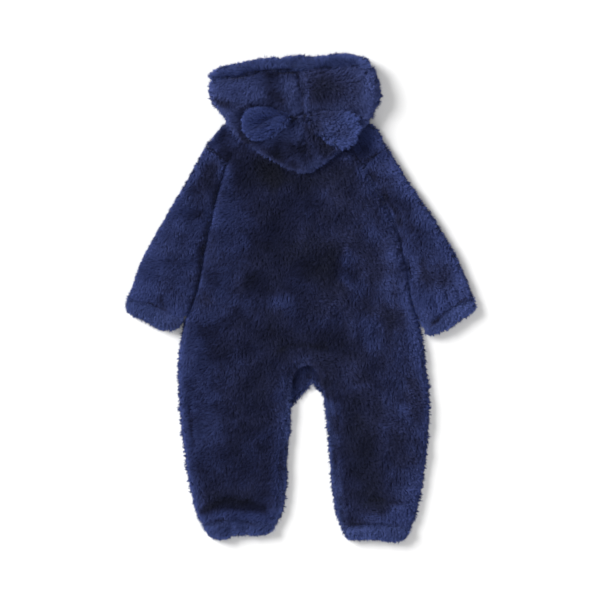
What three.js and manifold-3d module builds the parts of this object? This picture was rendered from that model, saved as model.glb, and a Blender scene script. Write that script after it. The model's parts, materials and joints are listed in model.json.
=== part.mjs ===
// A baby's hooded fleece onesie, laid flat on its front with its back up and its hood turned back.
// Millimetres. +X is to the right seen from above, +Y runs towards the head, +Z is up from the surface.
// Every piece is a wall of plush fleece. The sizes below are to the tips of the pile.

import * as THREE from 'three';
import { mergeVertices } from 'three/addons/utils/BufferGeometryUtils.js';
import Module from 'manifold-3d';

const wasm = await Module();
wasm.setup();

// ---------------------------------------------------------------- driving sizes

const CLOTH = 6; // plush fleece: knitted ground and pile together
const HOLLOW = 3.5; // air left between the front and the back
const LAID = 2 * CLOTH + HOLLOW; // the laid body, front and back together
const SEAM_GAP = 0.3; // between two pieces that are sewn to each other
const ROLL = 12; // how far in from a folded edge the cloth starts to roll over
const BAND_ROLL = 7.5; // the same along the inseam band
const HEM_ROLL = 10; // the same along the hood's hem and the cuffs

const HOOD_LOW = 26; // top of the hood where it lies on the back
const HOOD_HIGH = 31; // top of the hood's puffed upper part
const HOOD_STEP = { from: 254, to: 282 }; // where one rises to the other, along Y
const HOOD_CREASE = { y: 259, width: 7, depth: 1.5 }; // the crease across it, at the foot of the rise
const LIP = 8.5; // the hood's lower layer at its mouth
const HOOD_UNDER_EDGE = { rounding: 0.3, least: 2 }; // how much its sides round off; its least height
const EAR_CLOTH = 4.5;
const EAR_LIFT = 0.6; // between the ears and the hood they lie on
const EAR_INNER = 0.94; // width of an ear's lower layer, as a share of the upper one's
const EAR_GROOVE = { depth: 0.35, width: 0.25 }; // the fold along an ear, as shares of its cloth and width

const NECK = { back: 240, front: 222 }; // Y of the neckline, back and front
const NAPE = { high: 258.2, low: 257.8 }; // Y where the hood's underside steps up onto the back

const SEAM_HEIGHT = LAID - 1; // of a tube, where a seam draws it in
const CASING_END = { low: 0.8, height: LAID - 1.4 }; // the same at the open end of a cuff or an ankle
const SLEEVE_TOP_ROLL = 8;
const SHOULDER = { roll: 9, innerIn: 0.9 };
const NECK_INSET = 2; // how far the front's edge lies inside the back's, above the armholes
const ARMHOLE_SLOT = { top: 184, bottom: 118, depth: 2.6 * CLOTH, height: HOLLOW - 0.4 };
const BAND_FOOT = { from: -185, to: -165 }; // Y where the band's foot lifts off, towards the crotch

const FLEECE = 0x232b5c;
const FLEECE_LIGHT = 0x2c3670;

// ---------------------------------------------------------------- tables, a row for each section

// The trunk, from the neckline down: its two edges. The cloth lies open above the armhole's corner.
const ARMHOLE_CORNER = 190;
const TRUNK = [
  { y: NECK.back, left: -60, right: 50 },
  { y: 215, left: -86, right: 68 },
  { y: 201, left: -96, right: 79 },
  { y: ARMHOLE_CORNER, left: -103, right: 88 },
  { y: 166, left: -110, right: 101 },
  { y: 135, left: -119, right: 119 },
  { y: 99, left: -127, right: 135 },
  { y: 71, left: -134, right: 142 },
  { y: 40, left: -138, right: 148 },
  { y: 8, left: -144, right: 152.5 },
  { y: -20, left: -158, right: 159 },
  { y: -47, left: -166, right: 169 },
  { y: -80, left: -172, right: 174 },
];

// The crotch arch of the back: half an ellipse that opens downwards, and the band that edges it.
const ARCH = { x: 8.5, y: -125, halfWidth: 31.5, rise: 42.5 };
const ARCH_BAND = 9;
const ARCH_STEPS = 6;

// The legs: the outer edge, the band's seam, and the inner edge.
const LEFT_LEG = [
  { y: ARCH.y, side: -171, seam: ARCH.x - ARCH.halfWidth, inner: -13.5 },
  { y: -155, side: -169.5, seam: -22.5, inner: -13 },
  { y: -190, side: -165.5, seam: -25, inner: -16 },
  { y: -230, side: -160, seam: -28, inner: -19 },
  { y: -270, side: -154, seam: -29.5, inner: -20.5 },
  { y: -297, side: -148, seam: -33, inner: -24 },
  { y: -315, side: -139, seam: -43, inner: -34 },
];
const RIGHT_LEG = [
  { y: ARCH.y, side: 178.5, seam: ARCH.x + ARCH.halfWidth, inner: 31 },
  { y: -155, side: 180, seam: 46, inner: 34 },
  { y: -190, side: 179, seam: 50, inner: 38.5 },
  { y: -230, side: 174.5, seam: 53, inner: 40.5 },
  { y: -270, side: 168, seam: 56, inner: 43.5 },
  { y: -300, side: 162, seam: 61, inner: 49 },
  { y: -321, side: 154, seam: 68, inner: 57 },
];
const ANKLE_RISE = 8; // how far the ankle seams arch up between their ends

// The front's crotch hangs below the arch. Its edge runs from under one band to the other.
const CROTCH = {
  top: { x: 15.5, y: -122.5 },
  left: [{ x: 6, y: -131 }, { x: -3, y: -140 }, { x: -10.5, y: -150 }, { x: -22.5, y: -166 }],
  right: [{ x: 24, y: -126.5 }, { x: 30, y: -132 }, { x: 35, y: -143 }, { x: 43.5, y: -158 }],
};

// Sleeves: each section runs from the edge beside the body to the outer edge.
const LEFT_SLEEVE = [
  { y: ARMHOLE_CORNER, outer: [-133, 215.5] },
  { y: 166, outer: [-147, 190] },
  { y: 135, outer: [-168, 152] },
  { y: 99, outer: [-189, 117] },
  { y: 71, outer: [-204, 91] },
  { y: 40, outer: [-222, 61] },
  { y: 8, outer: [-234, 26] },
  { y: -20, outer: [-241, 5] },
];
const RIGHT_SLEEVE = [
  { y: ARMHOLE_CORNER, outer: [122, 215] },
  { y: 166, outer: [139, 183] },
  { y: 135, outer: [163, 147] },
  { y: 99, outer: [185, 118] },
  { y: 71, outer: [201, 91] },
  { y: 40, outer: [219, 61] },
  { y: 8, outer: [232, 33] },
  { y: -20, outer: [240, 8] },
];

// Cuffs: the seam, the fullest line and the open end, each across the wrist from inside to outside.
const LEFT_CUFF = {
  seam: [[-164, -25.5], [-179, -25], [-196, -13], [-214, -4], [-243.5, 0.5]],
  full: [[-162, -30], [-181, -35], [-198, -28], [-216, -19], [-247.5, -12]],
  end: [[-169, -37], [-184, -45.5], [-198, -44], [-218, -31.5], [-243, -19.5]],
};
const RIGHT_CUFF = {
  seam: [[165.5, -27], [182, -33], [197, -22], [210, -11], [243, 2]],
  full: [[172, -38], [188, -43], [203, -35], [218, -22], [247.5, -11]],
  end: [[174, -48], [188, -50.5], [205, -43.5], [230, -25], [244, -17.5]],
};

// Ankle casings, in the same way, from the outer edge to the inner one.
const LEFT_ANKLE = {
  full: [[-136, -324], [-112, -322], [-88, -318.5], [-62, -320], [-37, -322]],
  end: [[-128, -333], [-112, -339], [-86, -328.5], [-60, -332.5], [-43, -327.5]],
};
const RIGHT_ANKLE = {
  full: [[154, -327], [130, -328], [105, -325], [80, -326.5], [57, -328]],
  end: [[147, -336.5], [130, -342], [104, -335.5], [80, -337.5], [63, -337]],
};

// Shoulders: each section runs from the raglan seam to the fold on top of the shoulder.
const LEFT_SHOULDER = [
  { seam: [-103.6, 190.8], fold: [-133, 216.2] },
  { seam: [-97.2, 201.8], fold: [-123, 226] },
  { seam: [-87.4, 215.6], fold: [-114, 241] },
  { seam: [-74, 228], fold: [-96, 250] },
  { seam: [-61, 240.4], fold: [-66, 254.5] },
];
const RIGHT_SHOULDER = [
  { seam: [88.6, 190.8], fold: [122, 215.8] },
  { seam: [80.2, 201.8], fold: [113, 230] },
  { seam: [69.4, 215.6], fold: [106, 243] },
  { seam: [60, 228], fold: [86, 251] },
  { seam: [51, 240.4], fold: [56, 254.5] },
];

// The hood: stations from its hem down to its point. Each runs from the middle seam to both folds.
// foot is how high the fold's lower edge is: on the surface beside the shoulders, then on the back.
const ON_BACK = LAID + 0.4;
const HOOD = [
  { middle: [-7, 316], left: [-127, 300.5], right: [102, 320], foot: 0, bow: 4 },
  { middle: [-4, 299], left: [-128, 289], right: [111, 299], foot: 0, bow: 2 },
  { middle: [0, 285], left: [-124, 276], right: [111.5, 283], foot: 0, bow: 0 },
  { middle: [3, 270], left: [-115, 263], right: [105, 267.5], foot: 0, bow: 0 },
  { middle: [3.5, 259], left: [-104, 250], right: [95, 252], foot: ON_BACK, bow: 0 },
  { middle: [4.5, 249], left: [-86, 229], right: [79.5, 232], foot: ON_BACK, bow: 0 },
  { middle: [6, 238], left: [-69, 215.5], right: [66, 219.5], foot: ON_BACK, bow: 0 },
  { middle: [7.5, 227], left: [-49, 202], right: [50, 206], foot: ON_BACK, bow: 0 },
  { middle: [9, 217], left: [-28, 190.5], right: [37, 195.5], foot: ON_BACK, bow: 0 },
  { middle: [10.5, 208], left: [-9, 181.5], right: [24, 186], foot: ON_BACK, bow: 0 },
  { middle: [12, 200], left: [9.5, 177], right: [9.5, 177], foot: ON_BACK, bow: 0 },
];
const HEM = [
  { seam: [-122, 303.2], edge: [-127.5, 312] },
  { seam: [-108, 306.6], edge: [-116, 321.5] },
  { seam: [-86, 312.4], edge: [-92, 329] },
  { seam: [-47, 317.2], edge: [-45, 337] },
  { seam: [-8, 319.2], edge: [-8, 338] },
  { seam: [30, 321.6], edge: [31, 339] },
  { seam: [66, 323.4], edge: [68, 343] },
  { seam: [98, 321], edge: [99, 333] },
];

// The hood's hidden layers: one rounded solid, with its width, underside and top at each Y.
const HOOD_UNDER = [
  { y: 333.5, left: -70, right: 86, low: 1, high: LIP - 1 },
  { y: 327, left: -92, right: 94, low: 0, high: LIP },
  { y: 311, left: -114, right: 97, low: 0, high: LIP },
  { y: 304, left: -116, right: 98, low: 0, drop: 2.5 },
  { y: 285, left: -116, right: 101, low: 0, drop: 1 },
  { y: 268, left: -106, right: 94, low: 0, drop: 1.2 },
  { y: NAPE.high, left: -94, right: 84, low: 0, drop: 0.8 },
  { y: NAPE.low, left: -93, right: 83, low: ON_BACK, drop: 0.8 },
  { y: 240, left: -74, right: 70, low: ON_BACK, drop: 1.2 },
  { y: 215, left: -48, right: 44, low: ON_BACK, drop: 0.5 },
  { y: 198, left: -20, right: 22, low: ON_BACK, drop: 0.5 },
];

// Ears: where each leaves the hood, where its axis points, and its outline from root to tip. The left
// one is folded to a leaf with a pinched root, and the right one is fullest near its tip.
const EARS = [
  {
    name: 'ear_left',
    root: [-18, 252],
    towards: [-76, 240],
    length: 60,
    width: 42,
    outline: [
      { along: 0, half: 0.1 },
      { along: 0.14, half: 0.38 },
      { along: 0.35, half: 0.76 },
      { along: 0.6, half: 1 },
      { along: 0.8, half: 0.96 },
      { along: 0.93, half: 0.72 },
      { along: 1, half: 0.36 },
    ],
  },
  {
    name: 'ear_right',
    root: [12, 251],
    towards: [76, 228],
    length: 67,
    width: 47,
    outline: [
      { along: 0, half: 0.3 },
      { along: 0.14, half: 0.44 },
      { along: 0.35, half: 0.66 },
      { along: 0.6, half: 0.92 },
      { along: 0.8, half: 1 },
      { along: 0.93, half: 0.78 },
      { along: 1, half: 0.4 },
    ],
  },
];
// An ear's section, as shares: how far across it each column is, and how much its edge thins there.
const EAR_SECTION = [
  { across: -1, thin: 0.55 },
  { across: -0.72, thin: 0.12 },
  { across: -0.3, thin: 0 },
  { across: 0, thin: 0 },
  { across: 0.3, thin: 0 },
  { across: 0.72, thin: 0.12 },
  { across: 1, thin: 0.55 },
];

// The largest soft folds of the laid back: a ridge is up, a trough is down.
const FOLDS = [
  { x: -52, y: 60, turn: 80, length: 70, width: 22, height: -1.1 },
  { x: 34, y: 92, turn: 100, length: 60, width: 20, height: 0.9 },
  { x: 60, y: -10, turn: 60, length: 50, width: 20, height: -1 },
  { x: -95, y: -60, turn: 100, length: 60, width: 18, height: 0.9 },
  { x: -85, y: -275, turn: 5, length: 55, width: 14, height: -1.2 },
  { x: 110, y: -262, turn: -8, length: 50, width: 16, height: -1 },
];

// The section of a folded edge, from its foot up: how far in and how high it is, outside and inside.
const FOLD_SECTION = [
  { outerIn: 0, outerUp: 0, innerIn: 0, innerUp: 0, flat: 0 },
  { outerIn: 0, outerUp: 0.48, innerIn: 0, innerUp: 0.66, flat: 0.33 },
  { outerIn: 0.3, outerUp: 0.88, innerIn: 0.3, innerUp: 0.92, flat: 0.66 },
];

// The side of a flattened tube, from its top down: its height as a share of the half height, and how
// far in its outside and its inside are, as shares of the roll.
const TUBE_SIDE = [
  { up: 0.86, outerIn: 0.26, innerIn: 0.3 },
  { up: 0, outerIn: 0, innerIn: 0 },
  { up: -0.86, outerIn: 0.26, innerIn: 0.3 },
];

// ---------------------------------------------------------------- small helpers

const mix = (a, b, t) => a + (b - a) * t;
const mixPoint = (p, q, t) => [mix(p[0], q[0], t), mix(p[1], q[1], t)];
const shift = (p, step, amount) => [p[0] + step[0] * amount, p[1] + step[1] * amount];

/** 0 at from, 1 at to, and an even S between them, whichever is the larger. */
function smooth(from, to, v) {
  const t = THREE.MathUtils.clamp((v - from) / (to - from), 0, 1);
  return t * t * (3 - 2 * t);
}

function direction(p, q) {
  const length = Math.hypot(q[0] - p[0], q[1] - p[1]);
  return [(q[0] - p[0]) / length, (q[1] - p[1]) / length];
}

/** Places spread evenly by length along a line of points. */
function spread(line, count) {
  const lengths = [0];
  for (let i = 1; i < line.length; i++) {
    lengths.push(lengths[i - 1] + Math.hypot(line[i][0] - line[i - 1][0], line[i][1] - line[i - 1][1]));
  }
  const total = lengths.at(-1);
  return Array.from({ length: count + 1 }, (_, k) => {
    const wanted = (total * k) / count;
    let i = 1;
    while (i < line.length - 1 && lengths[i] < wanted) i++;
    return mixPoint(line[i - 1], line[i], (wanted - lengths[i - 1]) / (lengths[i] - lengths[i - 1]));
  });
}

/** A table's value at a height between two of its rows, which run down Y. */
function valueAt(rows, y, column) {
  const below = rows.findIndex((row) => row.y <= y);
  const i = below < 0 ? rows.length - 1 : Math.max(1, below);
  return mix(rows[i - 1][column], rows[i][column], (rows[i - 1].y - y) / (rows[i - 1].y - rows[i].y));
}

/** The outer edge of the trunk and the leg below it. */
function edgeAt(y, edge) {
  const legs = (edge === 'left' ? LEFT_LEG : RIGHT_LEG).map((row) => ({ y: row.y, [edge]: row.side }));
  return valueAt([...TRUNK, ...legs], y, edge);
}

/** Height of the laid body's top. */
function bodyTop(x, y) {
  let height = LAID;
  for (const fold of FOLDS) {
    const turn = THREE.MathUtils.degToRad(fold.turn);
    const along = (x - fold.x) * Math.cos(turn) + (y - fold.y) * Math.sin(turn);
    const across = (y - fold.y) * Math.cos(turn) - (x - fold.x) * Math.sin(turn);
    height += fold.height * Math.exp(-((along / fold.length) ** 2) - (across / fold.width) ** 2);
  }
  return Math.min(height, LAID + 0.3);
}

/** Height of the hood's top: the puffed upper part, and the lower part that lies on the back. */
const hoodBed = (y) => mix(HOOD_LOW, HOOD_HIGH, smooth(HOOD_STEP.from, HOOD_STEP.to, y));

function hoodTop(x, y) {
  return hoodBed(y) - HOOD_CREASE.depth * Math.exp(-(((y - HOOD_CREASE.y) / HOOD_CREASE.width) ** 2));
}

const level = (height) => () => height;

/** Arches a section's middle up along Y, as the seam above an ankle casing does. */
function archUp(columns, leg) {
  const { side, inner } = leg.at(-1);
  const lift = (p) => {
    const share = THREE.MathUtils.clamp((p[0] - side) / (inner - side), 0, 1);
    return [p[0], p[1] + ANKLE_RISE * Math.sin(Math.PI * share), p[2]];
  };
  return columns.map((c) => ({ outer: lift(c.outer), inner: lift(c.inner) }));
}

// ---------------------------------------------------------------- walls of cloth

/** A closed wall of cloth, from corners that each have an outer and an inner place. */
class Wall {
  corners = new Map();
  outer = [];
  inner = [];
  quads = [];

  corner(key, outer, inner) {
    this.corners.set(key, this.outer.length);
    this.outer.push(outer);
    this.inner.push(inner);
  }

  quad(...keys) {
    this.quads.push(keys.map((key) => this.corners.get(key)));
  }

  /** Adds rows of columns, and the quads between the columns that keep() lets through. */
  grid(rows, keep = () => true) {
    rows.forEach((row, r) => row.forEach((c, k) => c && this.corner(`${r}/${k}`, c.outer, c.inner)));
    for (let r = 0; r + 1 < rows.length; r++) {
      for (let k = 0; k + 1 < rows[r].length; k++) {
        const whole = rows[r][k] && rows[r][k + 1] && rows[r + 1][k] && rows[r + 1][k + 1];
        if (whole && keep(r, k)) this.quad(`${r}/${k}`, `${r + 1}/${k}`, `${r + 1}/${k + 1}`, `${r}/${k + 1}`);
      }
    }
  }

  /** Joins closed rings, one after another. */
  rings(rows) {
    rows.forEach((row, r) => row.forEach((c, k) => this.corner(`${r}/${k}`, c.outer, c.inner)));
    for (let r = 0; r + 1 < rows.length; r++) {
      rows[r].forEach((_, k) => {
        const next = (k + 1) % rows[r].length;
        this.quad(`${r}/${k}`, `${r + 1}/${k}`, `${r + 1}/${next}`, `${r}/${next}`);
      });
    }
  }

  geometry() {
    const count = this.outer.length;
    const faces = [];
    const edges = new Set();
    for (const [a, b, c, d] of this.quads) {
      faces.push([a, b, c], [a, c, d]);
      faces.push([a + count, c + count, b + count], [a + count, d + count, c + count]);
      [[a, b], [b, c], [c, d], [d, a]].forEach(([p, q]) => edges.add(`${p}>${q}`));
    }
    for (const edge of edges) {
      const [p, q] = edge.split('>').map(Number);
      if (!edges.has(`${q}>${p}`)) faces.push([q, p, p + count], [q, p + count, q + count]);
    }
    const geometry = new THREE.BufferGeometry();
    const places = [...this.outer, ...this.inner].flat();
    geometry.setAttribute('position', new THREE.Float32BufferAttribute(places, 3));
    geometry.setIndex(faces.flat());
    return facingOut(geometry);
  }
}

/** Turns a closed geometry's faces round if they point in. */
function facingOut(geometry) {
  const at = geometry.attributes.position;
  const index = geometry.index.array;
  const [a, b, c] = [new THREE.Vector3(), new THREE.Vector3(), new THREE.Vector3()];
  let volume = 0;
  for (let i = 0; i < index.length; i += 3) {
    a.fromBufferAttribute(at, index[i]);
    b.fromBufferAttribute(at, index[i + 1]);
    c.fromBufferAttribute(at, index[i + 2]);
    volume += a.dot(b.cross(c));
  }
  if (volume < 0) {
    for (let i = 0; i < index.length; i += 3) [index[i], index[i + 1]] = [index[i + 1], index[i]];
  }
  geometry.computeVertexNormals();
  return geometry;
}

/** Columns down a folded edge, from its foot up. inward points into the piece. */
function foldColumns(edge, inward, { roll, top, foot, cloth = CLOTH, rolled = 1 }) {
  return FOLD_SECTION.map((part) => {
    const outerIn = mix(part.flat * roll, part.outerIn * roll, rolled);
    const innerIn = mix(part.flat * roll, cloth + part.innerIn * (roll - cloth), rolled);
    const outer = shift(edge, inward, outerIn);
    const inner = shift(edge, inward, innerIn);
    const crown = shift(edge, inward, roll);
    const height = top(...crown);
    const outerUp = mix(height, mix(foot, height, part.outerUp), rolled);
    const innerUp = mix(height - cloth, mix(foot, height - cloth, part.innerUp), rolled);
    return { outer: [...outer, outerUp], inner: [...inner, innerUp] };
  });
}

/**
 * One section of a panel, as columns. spans are stretches of its line with their own number of
 * columns, and the line can be folded over at its start, at its end, or at both.
 */
function section(spans, { startFold, endFold, top, cloth = CLOTH, bow = 0 }) {
  const columns = [];
  const first = spans[0];
  const last = spans.at(-1);
  const startWay = direction(first.line[0], first.line[1]);
  const endWay = direction(last.line.at(-1), last.line.at(-2));
  spans.forEach((span, s) => {
    const line = span.line.map((p) => [...p]);
    if (s === 0 && startFold) line[0] = shift(line[0], startWay, startFold.roll);
    if (span === last && endFold) line[line.length - 1] = shift(line.at(-1), endWay, endFold.roll);
    spread(line, span.columns).forEach((p, k) => {
      if (s > 0 && k === 0) return;
      const place = [p[0], p[1] + bow * Math.sin((Math.PI * k) / span.columns)];
      const height = top(...place);
      columns.push({ outer: [...place, height], inner: [...place, height - cloth] });
    });
  });
  const before = startFold ? foldColumns(first.line[0], startWay, { top, cloth, ...startFold }) : [];
  const after = endFold ? foldColumns(last.line.at(-1), endWay, { top, cloth, ...endFold }) : [];
  return [...before, ...columns, ...after.reverse()];
}

/** One closed section of a flattened tube that lies on the surface. */
function tubeSection(line, { columns, roll, height, low = 0, cloth = CLOTH }) {
  const startWay = direction(line[0], line[1]);
  const endWay = direction(line.at(-1), line.at(-2));
  const inside = line.map((p) => [...p]);
  inside[0] = shift(line[0], startWay, roll);
  inside[line.length - 1] = shift(line.at(-1), endWay, roll);
  const places = spread(inside, columns);
  const middle = (low + height) / 2;
  const half = (height - low) / 2;
  const flatRow = (side) => places.map((p) => ({
    outer: [...p, middle + side * half],
    inner: [...p, middle + side * (half - cloth)],
  }));
  const sideRow = (edge, way) => TUBE_SIDE.map(({ up, outerIn, innerIn }) => ({
    outer: [...shift(edge, way, outerIn * roll), middle + up * half],
    inner: [...shift(edge, way, cloth + innerIn * (roll - cloth)), middle + up * (half - cloth)],
  }));
  return [
    ...flatRow(1),
    ...sideRow(line.at(-1), endWay),
    ...flatRow(-1).reverse(),
    ...sideRow(line[0], startWay).reverse(),
  ];
}

// ---------------------------------------------------------------- joining and cutting

function toSolid(geometry) {
  const bare = geometry.clone();
  bare.deleteAttribute('normal');
  bare.deleteAttribute('uv');
  const merged = mergeVertices(bare, 1e-4);
  return new wasm.Manifold(new wasm.Mesh({
    numProp: 3,
    vertProperties: new Float32Array(merged.attributes.position.array),
    triVerts: new Uint32Array(merged.index.array),
  }));
}

function cut(geometry, cutter) {
  const mesh = toSolid(geometry).subtract(toSolid(cutter)).getMesh();
  const result = new THREE.BufferGeometry();
  result.setAttribute('position', new THREE.Float32BufferAttribute(mesh.vertProperties, 3));
  result.setIndex([...mesh.triVerts]);
  return facingOut(result);
}

/** The slot through the side of the trunk and the sleeve beside it, where the arm goes through. */
function armholeCutter(edge) {
  const { top, bottom, depth, height } = ARMHOLE_SLOT;
  const [upper, lower] = [[edgeAt(top, edge), top], [edgeAt(bottom, edge), bottom]];
  const length = Math.hypot(upper[0] - lower[0], upper[1] - lower[1]);
  const slot = new THREE.BoxGeometry(depth, length, height);
  slot.rotateZ(Math.atan2(upper[1] - lower[1], upper[0] - lower[0]) - Math.PI / 2);
  slot.translate((upper[0] + lower[0]) / 2, (top + bottom) / 2, LAID / 2);
  return slot;
}

// ---------------------------------------------------------------- the object

const onesie = new THREE.Group();

function add(name, geometry, colour = FLEECE) {
  const material = new THREE.MeshStandardMaterial({ color: colour, roughness: 0.95, metalness: 0 });
  const mesh = new THREE.Mesh(geometry, material);
  mesh.name = name;
  onesie.add(mesh);
}

// ---- the back, one piece with both legs

const SIDE_COLUMNS = 4;
const MIDDLE_COLUMNS = { left: -26, right: 28, archesFrom: 40 }; // at the neckline; Y where they bend
const archPoint = (share, grow) => {
  const angle = Math.PI * (1 - share);
  return [
    ARCH.x + (ARCH.halfWidth + grow) * Math.cos(angle),
    ARCH.y + (ARCH.rise + grow) * Math.sin(angle),
  ];
};
const archLine = (grow) => Array.from({ length: ARCH_STEPS + 1 }, (_, i) => archPoint(i / ARCH_STEPS, grow));

function backRows() {
  const rows = [];
  const fold = (rolled) => ({ roll: ROLL, foot: 0, rolled });
  // The middle columns close in on the arch as the trunk goes down.
  for (const row of TRUNK) {
    const share = smooth(NECK.back, ARCH.y, row.y);
    const left = mix(MIDDLE_COLUMNS.left, ARCH.x - ARCH.halfWidth, share);
    const right = mix(MIDDLE_COLUMNS.right, ARCH.x + ARCH.halfWidth, share);
    const lift = smooth(MIDDLE_COLUMNS.archesFrom, ARCH.y, row.y) * ARCH.rise;
    const middle = Array.from({ length: ARCH_STEPS + 1 }, (_, i) => {
      const share = i / ARCH_STEPS;
      return [mix(left, right, share), row.y + lift * Math.sin(Math.PI * share)];
    });
    const rolled = row.y <= ARMHOLE_CORNER ? 1 : 0;
    rows.push(section([
      { line: [[row.left, row.y], middle[0]], columns: SIDE_COLUMNS },
      { line: middle, columns: ARCH_STEPS },
      { line: [middle.at(-1), [row.right, row.y]], columns: SIDE_COLUMNS },
    ], { startFold: fold(rolled), endFold: fold(rolled), top: bodyTop }));
  }
  LEFT_LEG.forEach((left, i) => {
    const right = RIGHT_LEG[i];
    const inset = i ? SEAM_GAP / 2 : 0;
    const leftLeg = section(
      [{ line: [[left.side, left.y], [left.seam - inset, left.y]], columns: SIDE_COLUMNS }],
      { startFold: fold(1), top: bodyTop },
    );
    const rightLeg = section(
      [{ line: [[right.seam + inset, right.y], [right.side, right.y]], columns: SIDE_COLUMNS }],
      { endFold: fold(1), top: bodyTop },
    );
    const last = i === LEFT_LEG.length - 1;
    const arch = archLine(SEAM_GAP / 2).slice(1, -1);
    const between = i ? arch.map(() => null) : arch.map((p) => {
      const height = bodyTop(...p);
      return { outer: [...p, height], inner: [...p, height - CLOTH] };
    });
    rows.push([
      ...(last ? archUp(leftLeg, LEFT_LEG) : leftLeg),
      ...between,
      ...(last ? archUp(rightLeg, RIGHT_LEG) : rightLeg),
    ]);
  });
  return rows;
}

const back = new Wall();
back.grid(backRows());
const backGeometry = cut(cut(back.geometry(), armholeCutter('left')), armholeCutter('right'));
add('back_panel', backGeometry);

// ---- the band round the crotch and down both inseams

function inseamBand() {
  const stations = [];
  const leg = (rows) => rows.map((row) => ({
    seam: [row.seam, row.y],
    edge: [row.inner, row.y],
    lift: smooth(BAND_FOOT.from, BAND_FOOT.to, row.y),
  }));
  const extra = (rows, y) => ({ y, seam: valueAt(rows, y, 'seam'), inner: valueAt(rows, y, 'inner') });
  const liftRows = [0.35, 0.95].map((share) => mix(BAND_FOOT.from, BAND_FOOT.to, share));
  const withExtra = (rows) => (
    [...rows, ...liftRows.map((y) => extra(rows, y))].sort((p, q) => q.y - p.y)
  );
  stations.push(...leg(withExtra(LEFT_LEG)).reverse());
  archLine(0).slice(1, -1).forEach((seam, i) => {
    stations.push({ seam, edge: archPoint((i + 1) / ARCH_STEPS, -ARCH_BAND), lift: 1 });
  });
  stations.push(...leg(withExtra(RIGHT_LEG)));
  const rows = stations.map(({ seam, edge, lift }) => {
    const way = direction(seam, edge);
    const foot = lift * (CLOTH + 0.5);
    return section(
      [{ line: [shift(seam, way, SEAM_GAP), edge], columns: 1 }],
      { endFold: { roll: BAND_ROLL, foot }, top: bodyTop },
    );
  });
  rows[0] = archUp(rows[0], LEFT_LEG);
  rows[rows.length - 1] = archUp(rows.at(-1), RIGHT_LEG);
  const band = new Wall();
  band.grid(rows);
  return band.geometry();
}
add('inseam_band', inseamBand(), FLEECE_LIGHT);

// ---- the two fronts, flat on the surface, which meet down the middle

const FRONT_INSET = CLOTH + SEAM_GAP;

function front(side) {
  const left = side === 'left';
  const sign = left ? 1 : -1;
  const legRows = left ? LEFT_LEG : RIGHT_LEG;
  const middleAt = (y) => mix(0, CROTCH.top.x, smooth(NECK.front, CROTCH.top.y, y)) - (sign * SEAM_GAP) / 2;
  const outside = (y, inset) => [edgeAt(y, side) + sign * inset, y];
  const heights = [NECK.front, ...TRUNK.map((row) => row.y).filter((y) => y < NECK.front), CROTCH.top.y];
  const lines = heights.map((y) => {
    const inset = y > ARMHOLE_CORNER + ROLL ? NECK_INSET : FRONT_INSET;
    return [outside(y, inset), [middleAt(y), y]];
  });
  for (const point of CROTCH[side]) lines.push([outside(point.y, FRONT_INSET), [point.x, point.y]]);
  for (const row of legRows.slice(2)) {
    lines.push([outside(row.y, FRONT_INSET), [row.inner - sign * FRONT_INSET, row.y]]);
  }
  const rows = lines.map((line) => section([{ line, columns: 4 }], { top: level(CLOTH) }));
  rows[rows.length - 1] = archUp(rows.at(-1), legRows);
  const panel = new Wall();
  panel.grid(rows);
  return panel.geometry();
}
add('front_left', front('left'));
add('front_right', front('right'));

// ---- sleeves and cuffs

const BESIDE = 0.4; // between a sleeve and the trunk beside it
const SLEEVE_COLUMNS = 5;

const seamSection = (line) => (
  tubeSection(line, { columns: SLEEVE_COLUMNS, roll: HEM_ROLL, height: SEAM_HEIGHT })
);

function sleeve(rows, cuff, edge) {
  const sign = edge === 'left' ? -1 : 1;
  const sections = rows.map((row, i) => {
    const inner = [edgeAt(row.y, edge) + sign * BESIDE, row.y];
    return tubeSection([inner, row.outer], {
      columns: SLEEVE_COLUMNS,
      roll: i ? ROLL : SLEEVE_TOP_ROLL,
      height: LAID,
    });
  });
  const seam = cuff.seam.map(([x, y]) => [x, y + SEAM_GAP]);
  sections.push(seamSection(seam));
  const tube = new Wall();
  tube.rings(sections);
  return cut(tube.geometry(), armholeCutter(edge));
}

/** A cuff or an ankle casing: a short open tube, fullest in its middle. */
function casing(first, { full, end }) {
  const tube = new Wall();
  tube.rings([
    first,
    tubeSection(full, { columns: SLEEVE_COLUMNS, roll: HEM_ROLL, height: LAID }),
    tubeSection(end, { columns: SLEEVE_COLUMNS, roll: HEM_ROLL, ...CASING_END }),
  ]);
  return tube.geometry();
}

add('sleeve_left', sleeve(LEFT_SLEEVE, LEFT_CUFF, 'left'));
add('sleeve_right', sleeve(RIGHT_SLEEVE, RIGHT_CUFF, 'right'));
function ankleSeam(leg) {
  const { y, side, inner } = leg.at(-1);
  const below = y - 2 * SEAM_GAP;
  return archUp(seamSection([[side, below], [inner, below]]), leg);
}
add('cuff_left', casing(seamSection(LEFT_CUFF.seam), LEFT_CUFF), FLEECE_LIGHT);
add('cuff_right', casing(seamSection(RIGHT_CUFF.seam), RIGHT_CUFF), FLEECE_LIGHT);
add('ankle_left', casing(ankleSeam(LEFT_LEG), LEFT_ANKLE), FLEECE_LIGHT);
add('ankle_right', casing(ankleSeam(RIGHT_LEG), RIGHT_ANKLE), FLEECE_LIGHT);

// ---- shoulders: cloth folded over the top, open towards the trunk and the sleeve

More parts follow.
